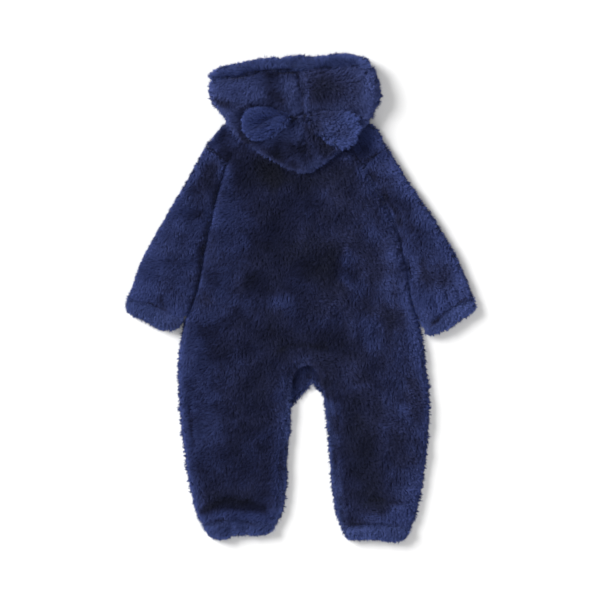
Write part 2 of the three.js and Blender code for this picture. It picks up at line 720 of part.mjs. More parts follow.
function shoulder(stations) {
  const { roll } = SHOULDER;
  const rows = stations.map(({ seam, fold }) => {
    const inward = direction(fold, seam);
    const crown = shift(fold, inward, roll);
    const over = [seam, mixPoint(seam, crown, 0.5), crown];
    const middle = LAID / 2;
    return [
      ...over.map((p) => ({ outer: [...p, LAID], inner: [...p, LAID - CLOTH] })),
      ...TUBE_SIDE.map(({ up, outerIn }) => ({
        outer: [...shift(fold, inward, outerIn * roll), middle + up * middle],
        inner: [...shift(fold, inward, CLOTH + (up ? SHOULDER.innerIn : 0)), middle + up * (middle - CLOTH)],
      })),
      ...over.toReversed().map((p) => ({ outer: [...p, 0], inner: [...p, CLOTH] })),
    ];
  });
  const piece = new Wall();
  piece.grid(rows);
  return piece.geometry();
}
add('shoulder_left', shoulder(LEFT_SHOULDER));
add('shoulder_right', shoulder(RIGHT_SHOULDER));

// ---- the hood

const MIDDLE_GAP = 0.45; // across the hood's middle seam, which is measured along X

function hoodHalf(side) {
  const sign = side === 'left' ? -1 : 1;
  const rows = HOOD.map((station) => {
    const start = shift(station.middle, [sign, 0], MIDDLE_GAP / 2);
    const end = shift(station[side], [sign, 0], MIDDLE_GAP / 2);
    const roll = Math.min(ROLL, 0.6 * Math.hypot(end[0] - start[0], end[1] - start[1]));
    return section(
      [{ line: [start, end], columns: 5 }],
      { endFold: { roll, foot: station.foot }, top: hoodTop, bow: station.bow },
    );
  });
  const half = new Wall();
  half.grid(rows);
  return half.geometry();
}
add('hood_left', hoodHalf('left'));
add('hood_right', hoodHalf('right'));

function hoodHem() {
  const rows = HEM.map(({ seam, edge }) => section(
    [{ line: [shift(seam, [0, 1], SEAM_GAP), edge], columns: 1 }],
    { endFold: { roll: HEM_ROLL, foot: LIP + SEAM_GAP }, top: hoodTop },
  ));
  const hem = new Wall();
  hem.grid(rows);
  return hem.geometry();
}
add('hood_hem', hoodHem(), FLEECE_LIGHT);

function hoodUnder() {
  const columns = 6;
  const rows = HOOD_UNDER.map((row) => Array.from({ length: columns + 1 }, (_, k) => {
    const x = mix(row.left, row.right, k / columns);
    const ceiling = hoodTop(x, row.y) - CLOTH - SEAM_GAP;
    const high = row.high ?? Math.max(ceiling - row.drop, row.low + HOOD_UNDER_EDGE.least);
    const atSide = k === 0 || k === columns;
    const rounding = atSide ? HOOD_UNDER_EDGE.rounding * (high - row.low) : 0;
    const lift = row.low ? 0 : rounding / 5;
    return { outer: [x, row.y, high - rounding], inner: [x, row.y, row.low + lift] };
  }));
  const solid = new Wall();
  solid.grid(rows);
  return solid.geometry();
}
add('hood_under', hoodUnder());

// ---- ears: two layers each, sewn round the edge

function earLayer(ear, layer) {
  const way = direction(ear.root, ear.towards);
  const across = [-way[1], way[0]];
  const upper = layer === 'outer';
  const rows = ear.outline.map((row) => EAR_SECTION.map((column) => {
    const half = (ear.width / 2) * row.half * (upper ? 1 : EAR_INNER);
    const place = shift(shift(ear.root, way, ear.length * row.along), across, column.across * half);
    const low = hoodBed(place[1]) + EAR_LIFT + (upper ? EAR_CLOTH + SEAM_GAP : 0);
    const groove = Math.exp(-((column.across / EAR_GROOVE.width) ** 2)) * Math.sin(Math.PI * row.along);
    const thin = column.thin + EAR_GROOVE.depth * groove;
    return { outer: [...place, low + EAR_CLOTH * (upper ? 1 - thin : 1)], inner: [...place, low] };
  }));
  const piece = new Wall();
  piece.grid(rows);
  return piece.geometry();
}
for (const ear of EARS) {
  add(`${ear.name}_inner`, earLayer(ear, 'inner'), FLEECE_LIGHT);
  add(`${ear.name}_outer`, earLayer(ear, 'outer'), FLEECE_LIGHT);
}

// ---------------------------------------------------------------- the origin: under the middle

const bounds = new THREE.Box3().setFromObject(onesie);
onesie.position.set(-(bounds.min.x + bounds.max.x) / 2, -(bounds.min.y + bounds.max.y) / 2, -bounds.min.z);

export default onesie;
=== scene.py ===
import json
import math
from collections import namedtuple

import bmesh
import bpy
import numpy as np
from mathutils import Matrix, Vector
from mathutils.bvhtree import BVHTree
from mathutils.kdtree import KDTree


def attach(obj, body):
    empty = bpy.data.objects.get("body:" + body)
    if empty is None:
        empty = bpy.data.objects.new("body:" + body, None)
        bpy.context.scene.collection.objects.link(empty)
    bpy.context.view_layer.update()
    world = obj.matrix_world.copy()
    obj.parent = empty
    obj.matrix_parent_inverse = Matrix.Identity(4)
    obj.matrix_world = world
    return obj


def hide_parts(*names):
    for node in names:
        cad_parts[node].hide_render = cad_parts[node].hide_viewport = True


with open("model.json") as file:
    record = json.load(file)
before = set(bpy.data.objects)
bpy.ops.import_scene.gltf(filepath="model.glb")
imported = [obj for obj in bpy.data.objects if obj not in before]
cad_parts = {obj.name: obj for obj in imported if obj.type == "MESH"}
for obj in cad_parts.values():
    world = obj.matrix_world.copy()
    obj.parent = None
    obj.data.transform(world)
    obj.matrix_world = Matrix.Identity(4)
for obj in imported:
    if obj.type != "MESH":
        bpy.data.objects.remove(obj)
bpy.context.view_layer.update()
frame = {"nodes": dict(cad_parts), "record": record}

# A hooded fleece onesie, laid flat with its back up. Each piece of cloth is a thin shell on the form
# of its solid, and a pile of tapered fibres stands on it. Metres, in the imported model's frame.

MM = 0.001
SEED = 41
FAR = 1.0  # stands for the distance to a seam where there is none

# ---------------------------------------------------------------- sizes of the shells and the ground

LAID = 15.5 * MM  # height of the laid body
PILE_ROOM = 3.4 * MM  # how far the knitted ground lies under the tips of the pile, on top
PILE_ROOM_SIDE = 4.0 * MM  # the same round the edges, where the pile stands out
PILE_ROOM_UNDER = 1.6 * MM  # the same underneath, where the pile is pressed flat
PILE_ROOM_EAR = 2.2 * MM  # the same on the ears, whose cloth is thinner
SINKS_LESS = 0.7  # the share of the side's room that goes missing at a seam
SHARP = math.radians(64)  # cut edges of the cloth stay crisp, and folded ones round off
SEAM_ANGLE = math.radians(38)  # a rounded edge that still turns this much, on top, is a seam
SEAM_HEIGHT = 12 * MM  # on top starts here
SEAM_OPEN = 0.85  # and a seam sees less of the open air than this
OUTLINE_LEVEL = 0.45  # the outline opens to the side: the most that its way may rise or fall
OUTLINE_OPEN = 0.4  # and the least of the open air that it sees
SPREAD_STEPS = 24  # how often what open places do is passed on to the hidden ones beside them
HIDDEN = 0.6  # hidden ones sink by less than this share

# Ways to look for open air from a place: along its normal, and round it at this tilt.
VIEW_TILT = math.radians(55)
VIEWS_ROUND = 8
VIEW_REACH = 40 * MM
VIEW_START = 0.4 * MM

# From where to where each thing below comes in, softly. The first five are shares, the rest metres.
OPEN_TO_SINK = (0.1, 0.4)
OPEN_TO_GROW = (0.03, 0.2)
FACING_UP = (0.1, 0.8)
FACING_DOWN = (0.3, 0.9)
UNDERNEATH = (0.3, 0.8)
SINKS_FROM_SEAM = (2 * MM, 9 * MM)
SPREADS_FROM_SEAM = (3 * MM, 8 * MM)
LIES_FROM_SEAM = (0.8 * MM, 5.5 * MM)
TOP = (6 * MM, 12.5 * MM)
EAR_TOP = (28 * MM, 34 * MM)

# ---------------------------------------------------------------- sizes of the pile

FIBRE_LENGTH = 7.6 * MM
FIBRE_WIDTH = 1.0 * MM
FIBRE_ROLL = 1.3  # radians, from one side to the other
FIBRES_PER_MM2 = 2.8
FIBRES_PER_MM2_UNDER = 0.5
ROOT_DEPTH = 0.4 * MM  # how far the roots reach into the ground
FLOOR_GAP = 0.15 * MM  # no fibre comes nearer to the floor
MOST_IN_A_PIECE = 190_000

LOCK_SIZE = 2.6 * MM  # across one lock, whose fibres lean together
LOCK_SHAKE = 0.5  # how far the grid of locks is shaken, in locks
LOCK_SLANT = 0.9  # how far the grid moves with height, so that the sides have locks above each other
LOCK_PULL = 0.42  # how much of the way to the lock's middle its tips are drawn, on top
LOCK_PULL_SIDE = 0.3  # and how much more on the sides
LOCK_PULL_MOST = 3.5 * MM
LOCK_MIDDLE = 0.6  # how much of its cell a lock's middle may lie in, each way
LOCK_NUMBERS = ("x", "y", "turn", "lean", "length", "shade")  # what the fibres of a lock share
LOCK_SALT = 30  # of the first of these numbers

# How the pile lies: turns in radians, leans in degrees from the cloth, the others in parts.
LOCK_TURN, FIBRE_TURN = 0.7, 0.4
SIDE_DROP = 0.3
SEAM_STRAY = 0.7
TUFT, TUFT_REACH = 2.4, 3 * MM  # how ragged the garment's outline is, and how far in
TUFT_LENGTH = 0.7
LEAN, LEAN_SIDE, LEAN_UNDER = 34, 22, 4
PATCH_LEAN, LOCK_LEAN, FIBRE_LEAN = 8, 9, 9
MEAN_LENGTH, LOCK_LENGTH, OWN_LENGTH = 0.925, 0.34, 0.25
SEAM_SHORTER, SIDE_SHORTER = 0.3, 0.15
OWN_WIDTH = 0.4

# How light the pile is, from 0 to 1, and what a lock, a fibre and a patch of lean change in it. A
# patch's share is painted shade where the pile stands steeper and painted light where it lies flatter.
BASE_SHADE = 0.475
LOCK_SHADE, FIBRE_SHADE, PATCH_PAINTED_SHADE = 0.1, 0.18, 0.05
PAINTED_RIM_LIGHT = 0.8  # painted rim light: how much lighter the pile is painted at the garment's outline, where it catches light
PAINTED_RIM_REACH = 8.5 * MM
MAP_ROOT, MAP_TIP = 0.03, 0.97  # where a fibre's root and tip lie in the map, up it
MAP_HALF = 0.004  # half the width of a fibre in the map

# Layers of soft noise: how much, the size of its lumps, and its salt.
UNEVEN_HEIGHT = [(0.35, 26 * MM, 1), (0.25, 13 * MM, 2)]  # mm
UNEVEN_SHADE = [(0.12, 38 * MM, 7), (0.09, 15 * MM, 8)]
FINE_SHADE = [(0.06, 6 * MM, 14)]
SWIRLS = [(0.7, 44 * MM, 11), (0.7, 17 * MM, 12)]  # radians
PATCHES = [(1.0, 24 * MM, 13)]
NAP_WOBBLE = [(7 * MM, 22 * MM, 5)], [(7 * MM, 22 * MM, 6)]  # along x and along y
CREASE_WOBBLE = [(1.6 * MM, 14 * MM, 15)], [(1.6 * MM, 14 * MM, 16)]
CREASE_COMES = [(0.35, 11 * MM, 17)]  # creases and seams come and go along their length
CREASE_MEAN = 0.75
SEAM_COMES = [(0.6, 30 * MM, 18)]
SEAM_MEAN = 0.7
LOCKS_WANDER = [(LOCK_SHAKE, 9 * MM, 21)]

# ---------------------------------------------------------------- pieces

# Each piece's group, whose tables shape it, shade it and say which way its pile lies.
PIECES = {
    "back_panel": "body",
    "front_left": "front",
    "front_right": "front",
    "inseam_band": "band",
    "shoulder_left": "shoulder_left",
    "shoulder_right": "shoulder_right",
    "sleeve_left": "sleeve_left",
    "sleeve_right": "sleeve_right",
    "cuff_left": "cuff_left",
    "cuff_right": "cuff_right",
    "ankle_left": "ankle",
    "ankle_right": "ankle",
    "hood_left": "hood",
    "hood_right": "hood",
    "hood_hem": "hem",
    "hood_under": "under",
    "ear_left_inner": "ear_left",
    "ear_left_outer": "ear_left",
    "ear_right_inner": "ear_right",
    "ear_right_outer": "ear_right",
}

# Ovals are listed with the middle, half the length and half the width in mm, the turn from +X in
# degrees, and how much they add at the middle.
Oval = namedtuple("Oval", "x y long wide turn much")

# Soft shapes in the laid cloth, in mm of height: a ridge is up and a trough is down.
SHAPES = {
    "body": [
        Oval(0, 120, 110, 85, 90, 2.6),
        Oval(0, -30, 120, 80, 0, 2.4),
        Oval(-100, -190, 100, 45, 85, 2.2),
        Oval(112, -190, 100, 45, 95, 2.2),
        Oval(-38, 78, 60, 9, 80, -1.6),
        Oval(28, 128, 48, 8, 70, -1.3),
        Oval(78, 40, 45, 9, 115, -1.5),
        Oval(-92, 30, 50, 9, 70, -1.5),
        Oval(40, -40, 38, 8, 25, -1.6),
        Oval(-50, -62, 42, 8, -20, -1.6),
        Oval(-88, -276, 46, 9, 3, -3.2),
        Oval(-120, -240, 26, 7, 60, -1.6),
        Oval(112, -284, 40, 8, -4, -2.4),
        Oval(80, -150, 40, 9, 75, -1.4),
        Oval(-70, -150, 46, 9, 100, -1.4),
    ],
    "band": [Oval(9, -88, 30, 10, 0, 1.5)],
    "hood": [
        Oval(-62, 292, 48, 16, 5, 5.0),
        Oval(58, 294, 46, 18, 0, 5.5),
        Oval(-2, 288, 34, 5.5, 88, -3.6),
        Oval(5, 232, 34, 4.5, 95, -3.0),
        Oval(-40, 262, 34, 5.5, -12, -5.0),
        Oval(44, 259, 52, 5.0, 0, -5.5),
        Oval(-20, 276, 16, 7, 60, 2.2),
        Oval(22, 277, 18, 7, 110, 2.2),
        Oval(-86, 272, 22, 7, 40, -2.2),
        Oval(0, 198, 20, 14, 5, 2.0),
        Oval(-22, 216, 14, 6, 60, -1.8),
        Oval(-6, 316, 44, 6, 2, 2.2),
    ],
    "hem": [
        Oval(-80, 322, 50, 10, 12, 2.0),
        Oval(50, 330, 50, 10, 3, 2.4),
        Oval(-4, 328, 14, 5, 90, -3.0),
        Oval(-50, 326, 12, 6, 80, -1.6),
        Oval(-6, 318, 44, 6, 2, 2.6),
    ],
    "ankle": [
        Oval(-112, -322, 12, 6, 90, 1.6),
        Oval(-96, -320, 12, 5, 85, -2.6),
        Oval(-74, -320, 12, 5, 95, -2.4),
        Oval(-52, -322, 12, 6, 90, 1.4),
        Oval(84, -328, 12, 5, 90, -2.4),
        Oval(112, -327, 12, 5, 92, -2.0),
        Oval(134, -330, 12, 6, 85, 1.6),
    ],
    "ear_left": [
        Oval(-46, 246, 20, 3.6, 20, -2.6),
        Oval(-56, 258, 16, 7, 25, 1.6),
        Oval(-58, 236, 16, 7, 20, 1.2),
    ],
    "ear_right": [
        Oval(52, 241, 18, 5, -20, -0.9),
        Oval(60, 246, 16, 9, -15, 1.6),
    ],
    "sleeve_left": [
        Oval(-160, 120, 70, 22, 62, 2.0),
        Oval(-200, 20, 40, 20, 66, 1.8),
        Oval(-150, 150, 18, 7, -25, -1.5),
        Oval(-185, 40, 22, 7, -15, -1.6),
        Oval(-205, 8, 16, 6, 75, -1.6),
    ],
    "sleeve_right": [
        Oval(160, 120, 70, 22, 118, 2.0),
        Oval(200, 20, 40, 20, 114, 1.8),
        Oval(150, 160, 18, 7, 20, -1.6),
        Oval(205, -4, 15, 4, 100, -2.2),
        Oval(218, 4, 15, 4, 95, -2.0),
        Oval(190, -12, 14, 4, 110, -1.8),
    ],
    "shoulder_left": [Oval(-108, 222, 18, 6, 50, -1.4)],
    "shoulder_right": [
        Oval(104, 233, 14, 2.6, -50, -2.6),
        Oval(84, 212, 16, 5, -60, -1.2),
    ],
    "cuff_left": [Oval(-205, -24, 10, 5, 60, -1.6)],
    "cuff_right": [Oval(210, -26, 10, 5, 110, -1.8)],
}

# Corners that the sewing draws in: how far, along (x, y) in mm, at the corner itself.
DrawnIn = namedtuple("DrawnIn", "on x y reach by")
DRAWN_IN = [
    DrawnIn("hem", 106, 338, 12, (-10, 1)),
    DrawnIn("hem", 106, 325, 9, (-6, 0)),
    DrawnIn("hem", -130, 306, 10, (2, 1)),
    DrawnIn("hem", -28, 338, 11, (0, -2.4)),
    DrawnIn("hem", 22, 340, 12, (0, -2.2)),
    DrawnIn("hem", -2, 340, 9, (0, 1.2)),
    DrawnIn("hem", 62, 342, 14, (0, 1.2)),
    DrawnIn("hem", -76, 327, 10, (0, -1.4)),
    DrawnIn("shoulder_right", 119, 219, 5, (-3, -1)),
    DrawnIn("sleeve_right", 119, 219, 4, (-3, -1)),
]

# Creases and seams, each along a line of places in mm. depth is how far the cloth goes in, or comes
# out where it is below 0, and shade adds to the pile's own: painted shade in the crease where it is
# below 0, painted light along a ridge where it is above 0.
Crease = namedtuple("Crease", "on width depth shade line")
CREASES = [
    # the hood: above the ears, the middle seam down to the tip, the hem's seam and the left corner
    Crease("hood", 4.5, 3.5, -0.5, [(-64, 270), (-46, 267), (-21, 257), (-6, 256)]),
    Crease("hood", 4.0, 3.5, -0.42, [(2, 258), (20, 261), (67, 260), (96, 252)]),
    Crease("hood", 2.2, 1.6, -0.5, [(-7, 318), (-5, 298), (-2, 290)]),
    Crease("hood", 2.0, 1.6, -0.5, [(1, 289), (3, 275), (3.5, 260)]),
    Crease("hood", 2.2, -1.4, 0.34, [(7, 290), (8.5, 275), (8, 262)]),
    Crease("hood", 2.2, 1.8, -0.5, [(7, 238), (9, 222), (13, 208), (17, 198)]),
    Crease("hood hem", 3.0, 2.0, -0.42, [(-127, 300), (-109, 305), (-87, 311), (-46, 315)]),
    Crease("hood hem", 2.6, 1.6, -0.34, [(36, 320), (60, 321), (98, 320)]),
    Crease("hood hem", 4.0, -1.2, 0.3, [(-64, 314), (-32, 319), (0, 320), (34, 321)]),
    Crease("hood", 4.0, -1.2, 0.26, [(-126, 292), (-112, 286), (-102, 294)]),
    # the left ear
    Crease("ear_left", 2.4, 1.8, -0.5, [(-70, 232), (-58, 237), (-44, 250), (-30, 254)]),
    Crease("ear_left", 2.2, -0.8, 0.2, [(-64, 228), (-52, 236), (-38, 248)]),
    Crease("ear_left", 2.0, 0.8, -0.24, [(-66, 250), (-52, 258), (-38, 258)]),
    Crease("ear_left", 1.8, 0.8, -0.24, [(-48, 238), (-36, 243), (-26, 250)]),
    # the shoulders and their seams to the sleeves
    Crease("shoulder_right", 2.8, 2.4, -0.5, [(86, 242), (98, 236), (110, 224)]),
    Crease("shoulder_right", 3.0, -1.0, 0.5, [(94, 247), (106, 240), (117, 226)]),
    Crease("shoulder_left sleeve_left", 2.4, 1.4, -0.4, [(-124, 213), (-113, 203), (-104, 191)]),
    Crease("shoulder_left sleeve_left", 2.6, -0.8, 0.24, [(-127, 208), (-117, 199), (-108, 189)]),
    Crease("shoulder_right sleeve_right", 3.0, 2.2, -0.8, [(120, 220), (101, 204), (90, 193)]),
    Crease("shoulder_right sleeve_right", 2.8, -1.0, 0.42, [(123, 213), (105, 198), (94, 187)]),
    # the armholes
    Crease("sleeve_right", 6.0, 0.8, -0.46, [(94, 186), (125, 141), (139, 108)]),
    Crease("body", 4.0, -0.6, 0.3, [(86, 183), (116, 138), (133, 100)]),
    Crease("body sleeve_right", 5.0, -1.2, 0.26, [(144, 74), (151, 30), (157, -6)]),
    Crease("body sleeve_left", 5.0, -1.2, 0.24, [(-122, 130), (-136, 52), (-142, 3)]),
    # the cuffs' seams, and the gathers above them
    Crease("sleeve_left cuff_left", 2.6, 1.2, -0.6, [(-239, 4), (-224, -1), (-208, -7), (-194, -13)]),
    Crease("sleeve_right cuff_right", 2.8, 1.4, -0.7, [(180, -38), (199, -20), (214, -9), (229, 1)]),
    Crease("sleeve_right", 2.6, 2.0, -0.34, [(187, 10), (192, -10)]),
    Crease("sleeve_right", 2.6, 2.2, -0.36, [(202, 8), (207, -9)]),
    Crease("sleeve_right", 2.4, 1.8, -0.3, [(217, 12), (220, -4)]),
    Crease("sleeve_left", 2.8, 1.8, -0.3, [(-226, 4), (-206, -6)]),
    Crease("sleeve_left", 2.6, 1.8, -0.3, [(-196, 6), (-190, -14)]),
    # the ankles: folds above the casings, and the casings' seams
    Crease("body", 7.0, 2.4, -0.36, [(-140, -294), (-120, -287), (-94, -280), (-70, -283), (-48, -292)]),
    Crease("body", 6.0, -1.0, 0.34, [(-136, -306), (-94, -295), (-54, -305)]),
    Crease("body", 4.0, 1.6, -0.24, [(84, -284), (112, -280), (140, -286)]),
    Crease("body ankle", 2.2, 1.2, -0.5,
           [(-130, -312), (-110, -307), (-90, -312), (-71, -312), (-49, -319)]),
    Crease("body ankle", 2.2, 1.2, -0.42, [(70, -312), (88, -316), (110, -314), (143, -319)]),
    # the legs, the crotch and the front's middle
    Crease("body", 3.4, 1.6, -0.3, [(-154, -140), (-150, -172), (-147, -206)]),
    Crease("body", 2.6, 1.4, -0.24, [(-94, -160), (-78, -182)]),
    Crease("body", 5.0, 1.0, -0.3, [(-32, -70), (-14, -64), (10, -62), (36, -66)]),
    Crease("body", 2.6, 1.2, -0.34, [(46, -128), (50, -170), (52, -230), (56, -296)]),
    Crease("front", 2.4, 0.8, -0.3, [(4, -122), (9, -114), (15, -104)]),
]

# Painted shade that a taller piece casts on a lower one beside it or under it, and painted light on the
# back's edge beside the sleeves: what lies beside or over what, how far it reaches in mm, and how strong
# it is.
PAINTED_SHADE_BESIDE = [
    ("back_panel", ("hood_left", "hood_right"), 24, -0.36),
    ("back_panel", ("sleeve_left", "sleeve_right"), 7, 0.1),
    ("sleeve_left", ("back_panel",), 12, -0.2),
    ("sleeve_right", ("back_panel",), 12, -0.2),
    ("shoulder_left", ("hood_left",), 13, -0.14),
    ("shoulder_right", ("hood_right",), 12, -0.06),
    ("hood_left", ("ear_left_outer",), 7, -0.34),
    ("hood_right", ("ear_right_outer",), 7, -0.34),
    ("front_left", ("inseam_band",), 5, -0.2),
    ("front_right", ("inseam_band",), 5, -0.2),
]

# Which way the pile lies in each group: along (x, y), spreading away from the line x = middle, fully
# so at over mm from it. On an ear it spreads from a root.
LIE = {
    "body": dict(along=(0.0, -1.0), middle=4, spread=0.75, over=150),
    "front": dict(along=(0.0, -1.0), middle=9, spread=0.6, over=40),
    "band": dict(along=(0.0, -1.0), middle=9, spread=-0.5, over=30),
    "shoulder_left": dict(along=(-0.6, -0.8), middle=-104, spread=0.5, over=30),
    "shoulder_right": dict(along=(0.6, -0.8), middle=98, spread=0.5, over=30),
    "sleeve_left": dict(along=(-0.45, -0.9), middle=-170, spread=0.3, over=60),
    "sleeve_right": dict(along=(0.45, -0.9), middle=170, spread=0.3, over=60),
    "cuff_left": dict(along=(-0.3, -0.95), middle=-205, spread=0.5, over=30),
    "cuff_right": dict(along=(0.3, -0.95), middle=208, spread=0.5, over=30),
    "ankle": dict(along=(0.0, -1.0), middle=8, spread=0.1, over=100),
    "hood": dict(along=(0.0, -0.75), middle=2, spread=1.25, over=70),
    "hem": dict(along=(0.0, 1.0), middle=-2, spread=0.5, over=90),
    "under": dict(along=(0.0, 1.0), middle=0, spread=0.6, over=90),
    "ear_left": dict(root=(0, 257)),
    "ear_right": dict(root=(-6, 256)),
}

# What each group adds to the pile's shade, partly painted light: the left ear's share paints the light
# that its tips catch, and the front's lightens the shadow under the crotch's arch. Then how dark its
# pile is painted along a seam, as shade in the seam's groove.
GROUP_TONE_AND_PAINTED_LIGHT = dict(hood=0.22, hem=0.38, ankle=0.34, cuff_left=0.24, cuff_right=0.3, ear_left=0.42,
                   band=0.08, under=-0.05, front=0.34, sleeve_left=0.21, sleeve_right=0.18,
                   shoulder_right=0.36)
SEAM_PAINTED_SHADE = dict(band=-0.1, body=-0.12, hood=-0.1, hem=-0.06, ankle=-0.08, cuff_left=-0.14,
                  cuff_right=-0.1)
SEAM_PAINTED_SHADE_ELSEWHERE = -0.2
# How long its fibres are, as a share of the full length, and how much more than elsewhere its pile
# turns about and is painted lighter at the outline, as rim light.
LENGTHS = dict(body=0.88, front=0.85, band=0.8, hood=1.0, hem=1.0, ear_left=0.95, ear_right=1.1,
               ankle=0.95)
LENGTH_ELSEWHERE = 0.85
SWIRL = dict(hem=1.8, hood=1.2)
PAINTED_RIM_MORE = dict(hem=2.0)

# Where the nap is brushed dark or light, mixed with painted shade where one piece lies over or beside
# another and painted light along rims.
NAP_AND_PAINTED_LIGHT = [
    # shoulders and upper back
    Oval(110, 232, 13, 14, -40, 0.42),
    Oval(98, 231, 11, 9, 0, 0.3),
    Oval(-117, 212, 10, 9, 0, 0.26),
    Oval(90, 206, 20, 15, -40, -0.24),
    Oval(-74, 198, 18, 12, -32, 0.1),
    Oval(68, 198, 16, 16, 0, 0.2),
    Oval(72, 194, 16, 12, 30, 0.2),
    Oval(-50, 184, 22, 14, -28, -0.32),
    Oval(-10, 180, 80, 26, 0, -0.42),
    Oval(-132, 172, 15, 32, -24, -0.5),
    Oval(-102, 168, 14, 16, 0, 0.3),
    Oval(-36, 168, 18, 14, 0, -0.34),
    Oval(-38, 153, 10, 9, 0, -0.3),
    Oval(66, 150, 14, 26, 0, -0.14),
    Oval(-52, 134, 26, 12, 0, -0.12),
    Oval(118, 133, 9, 10, 0, 0.22),
    Oval(0, 120, 60, 40, 0, -0.05),
    Oval(-102, 108, 15, 46, 0, 0.26),
    Oval(-52, 100, 24, 14, 0, 0.12),
    Oval(100, 98, 13, 16, 0, 0.24),
    Oval(70, 96, 15, 22, -20, -0.12),
    # sleeves, cuffs and armholes
    Oval(142, 122, 15, 56, 30, -0.22),
    Oval(-131, 118, 12, 12, 0, -0.3),
    Oval(-150, 96, 13, 50, -32, -0.14),
    Oval(-168, 62, 16, 40, -22, 0.16),
    Oval(214, 40, 16, 40, 20, 0.14),
    Oval(172, 36, 9, 18, 6, -0.36),
    Oval(200, 32, 15, 16, 0, -0.32),
    Oval(-214, 30, 20, 36, -20, 0.12),
    Oval(232, 30, 10, 20, 0, -0.16),
    Oval(-206, 20, 16, 24, -20, 0.2),
    Oval(148, 10, 9, 50, 3, 0.44),
    Oval(196, 6, 10, 11, 0, 0.2),
    Oval(-236, 2, 12, 22, 0, 0.36),
    Oval(-232, -4, 17, 18, 0, 0.52),
    Oval(192, -8, 32, 16, 0, 0.46),
    Oval(-216, -13, 11, 10, 0, 0.26),
    Oval(-200, -34, 14, 9, 0, -0.24),
    Oval(-206, -36, 20, 10, -24, 0.3),
    Oval(-172, -36, 14, 12, 0, -0.62),
    Oval(134, -36, 13, 14, 0, -0.14),
    Oval(158, -42, 10, 12, 0, 0.24),
    # middle of the back
    Oval(-77, 84, 11, 10, 0, 0.24),
    Oval(18, 66, 30, 22, 0, -0.24),
    Oval(-40, 62, 26, 52, -6, -0.24),
    Oval(69, 55, 11, 10, 0, 0.24),
    Oval(30, 52, 28, 30, 20, -0.22),
    Oval(118, 40, 11, 16, 0, -0.26),
    Oval(-66, 30, 13, 16, 0, -0.3),
    Oval(33, 30, 18, 26, 0, -0.36),
    Oval(66, 30, 12, 16, 0, 0.16),
    Oval(118, 26, 16, 80, -8, 0.24),
    Oval(-122, 24, 14, 72, 6, 0.2),
    Oval(58, 17, 9, 9, 0, -0.2),
    Oval(88, 16, 12, 11, 0, 0.26),
    Oval(100, 14, 14, 30, 0, -0.24),
    Oval(-102, 8, 14, 40, 0, 0.18),
    Oval(27, 4, 20, 14, 10, 0.08),
    Oval(-30, -4, 20, 12, 0, 0.28),
    Oval(0, -4, 12, 12, 0, -0.14),
    Oval(117, -28, 11, 22, 0, -0.34),
    Oval(66, -36, 14, 14, 0, 0.16),
    Oval(-35, -38, 17, 16, 0, -0.18),
    Oval(98, -38, 14, 14, 0, 0.12),
    Oval(88, -41, 10, 18, 0, 0.26),
    # hips and crotch
    Oval(6, -62, 62, 18, 0, -0.22),
    Oval(160, -66, 14, 22, 0, 0.14),
    Oval(100, -68, 14, 14, 0, 0.32),
    Oval(-135, -72, 14, 16, 0, 0.18),
    Oval(150, -76, 30, 30, 0, 0.26),
    Oval(-92, -98, 22, 20, 0, 0.18),
    Oval(-19, -111, 10, 10, 0, 0.26),
    Oval(20, -111, 9, 9, 0, -0.22),
    Oval(88, -111, 11, 10, 0, -0.24),
    Oval(60, -120, 22, 44, 10, -0.06),
    Oval(157, -121, 9, 10, 0, -0.24),
    Oval(14, -122, 30, 22, 0, -0.34),
    Oval(-142, -130, 20, 90, -3, 0.24),
    Oval(-70, -130, 26, 46, -8, -0.14),
    Oval(33, -134, 10, 16, 0, -0.24),
    # legs and ankles
    Oval(147, -160, 10, 10, 0, 0.26),
    Oval(166, -172, 12, 36, 0, -0.1),
    Oval(-137, -178, 12, 28, 0, -0.1),
    Oval(-48, -189, 10, 11, 0, 0.26),
    Oval(72, -190, 20, 52, 0, -0.16),
    Oval(134, -205, 12, 16, 0, -0.18),
    Oval(166, -206, 12, 14, 0, -0.12),
    Oval(-135, -212, 12, 30, 0, 0.18),
    Oval(-68, -212, 13, 26, 0, 0.24),
    Oval(98, -212, 15, 60, 0, -0.26),
    Oval(-36, -215, 12, 60, 0, 0.1),
    Oval(-19, -225, 8, 90, 0, -0.26),
    Oval(42, -225, 8, 90, 2, -0.26),
    Oval(88, -262, 28, 24, 0, -0.14),
    Oval(140, -276, 26, 28, 0, 0.3),
    Oval(-94, -280, 50, 15, 0, -0.2),
    Oval(112, -280, 42, 12, -3, -0.14),
    Oval(-126, -289, 17, 7, 24, -0.36),
    Oval(-87, -297, 11, 9, 0, 0.26),
    Oval(134, -300, 18, 12, 0, 0.3),
    Oval(98, -304, 23, 9, -2, 0.3),
    Oval(-136, -306, 12, 10, 0, -0.2),
    Oval(-62, -308, 44, 9, 0, 0.46),
    Oval(62, -312, 14, 14, 0, -0.3),
]

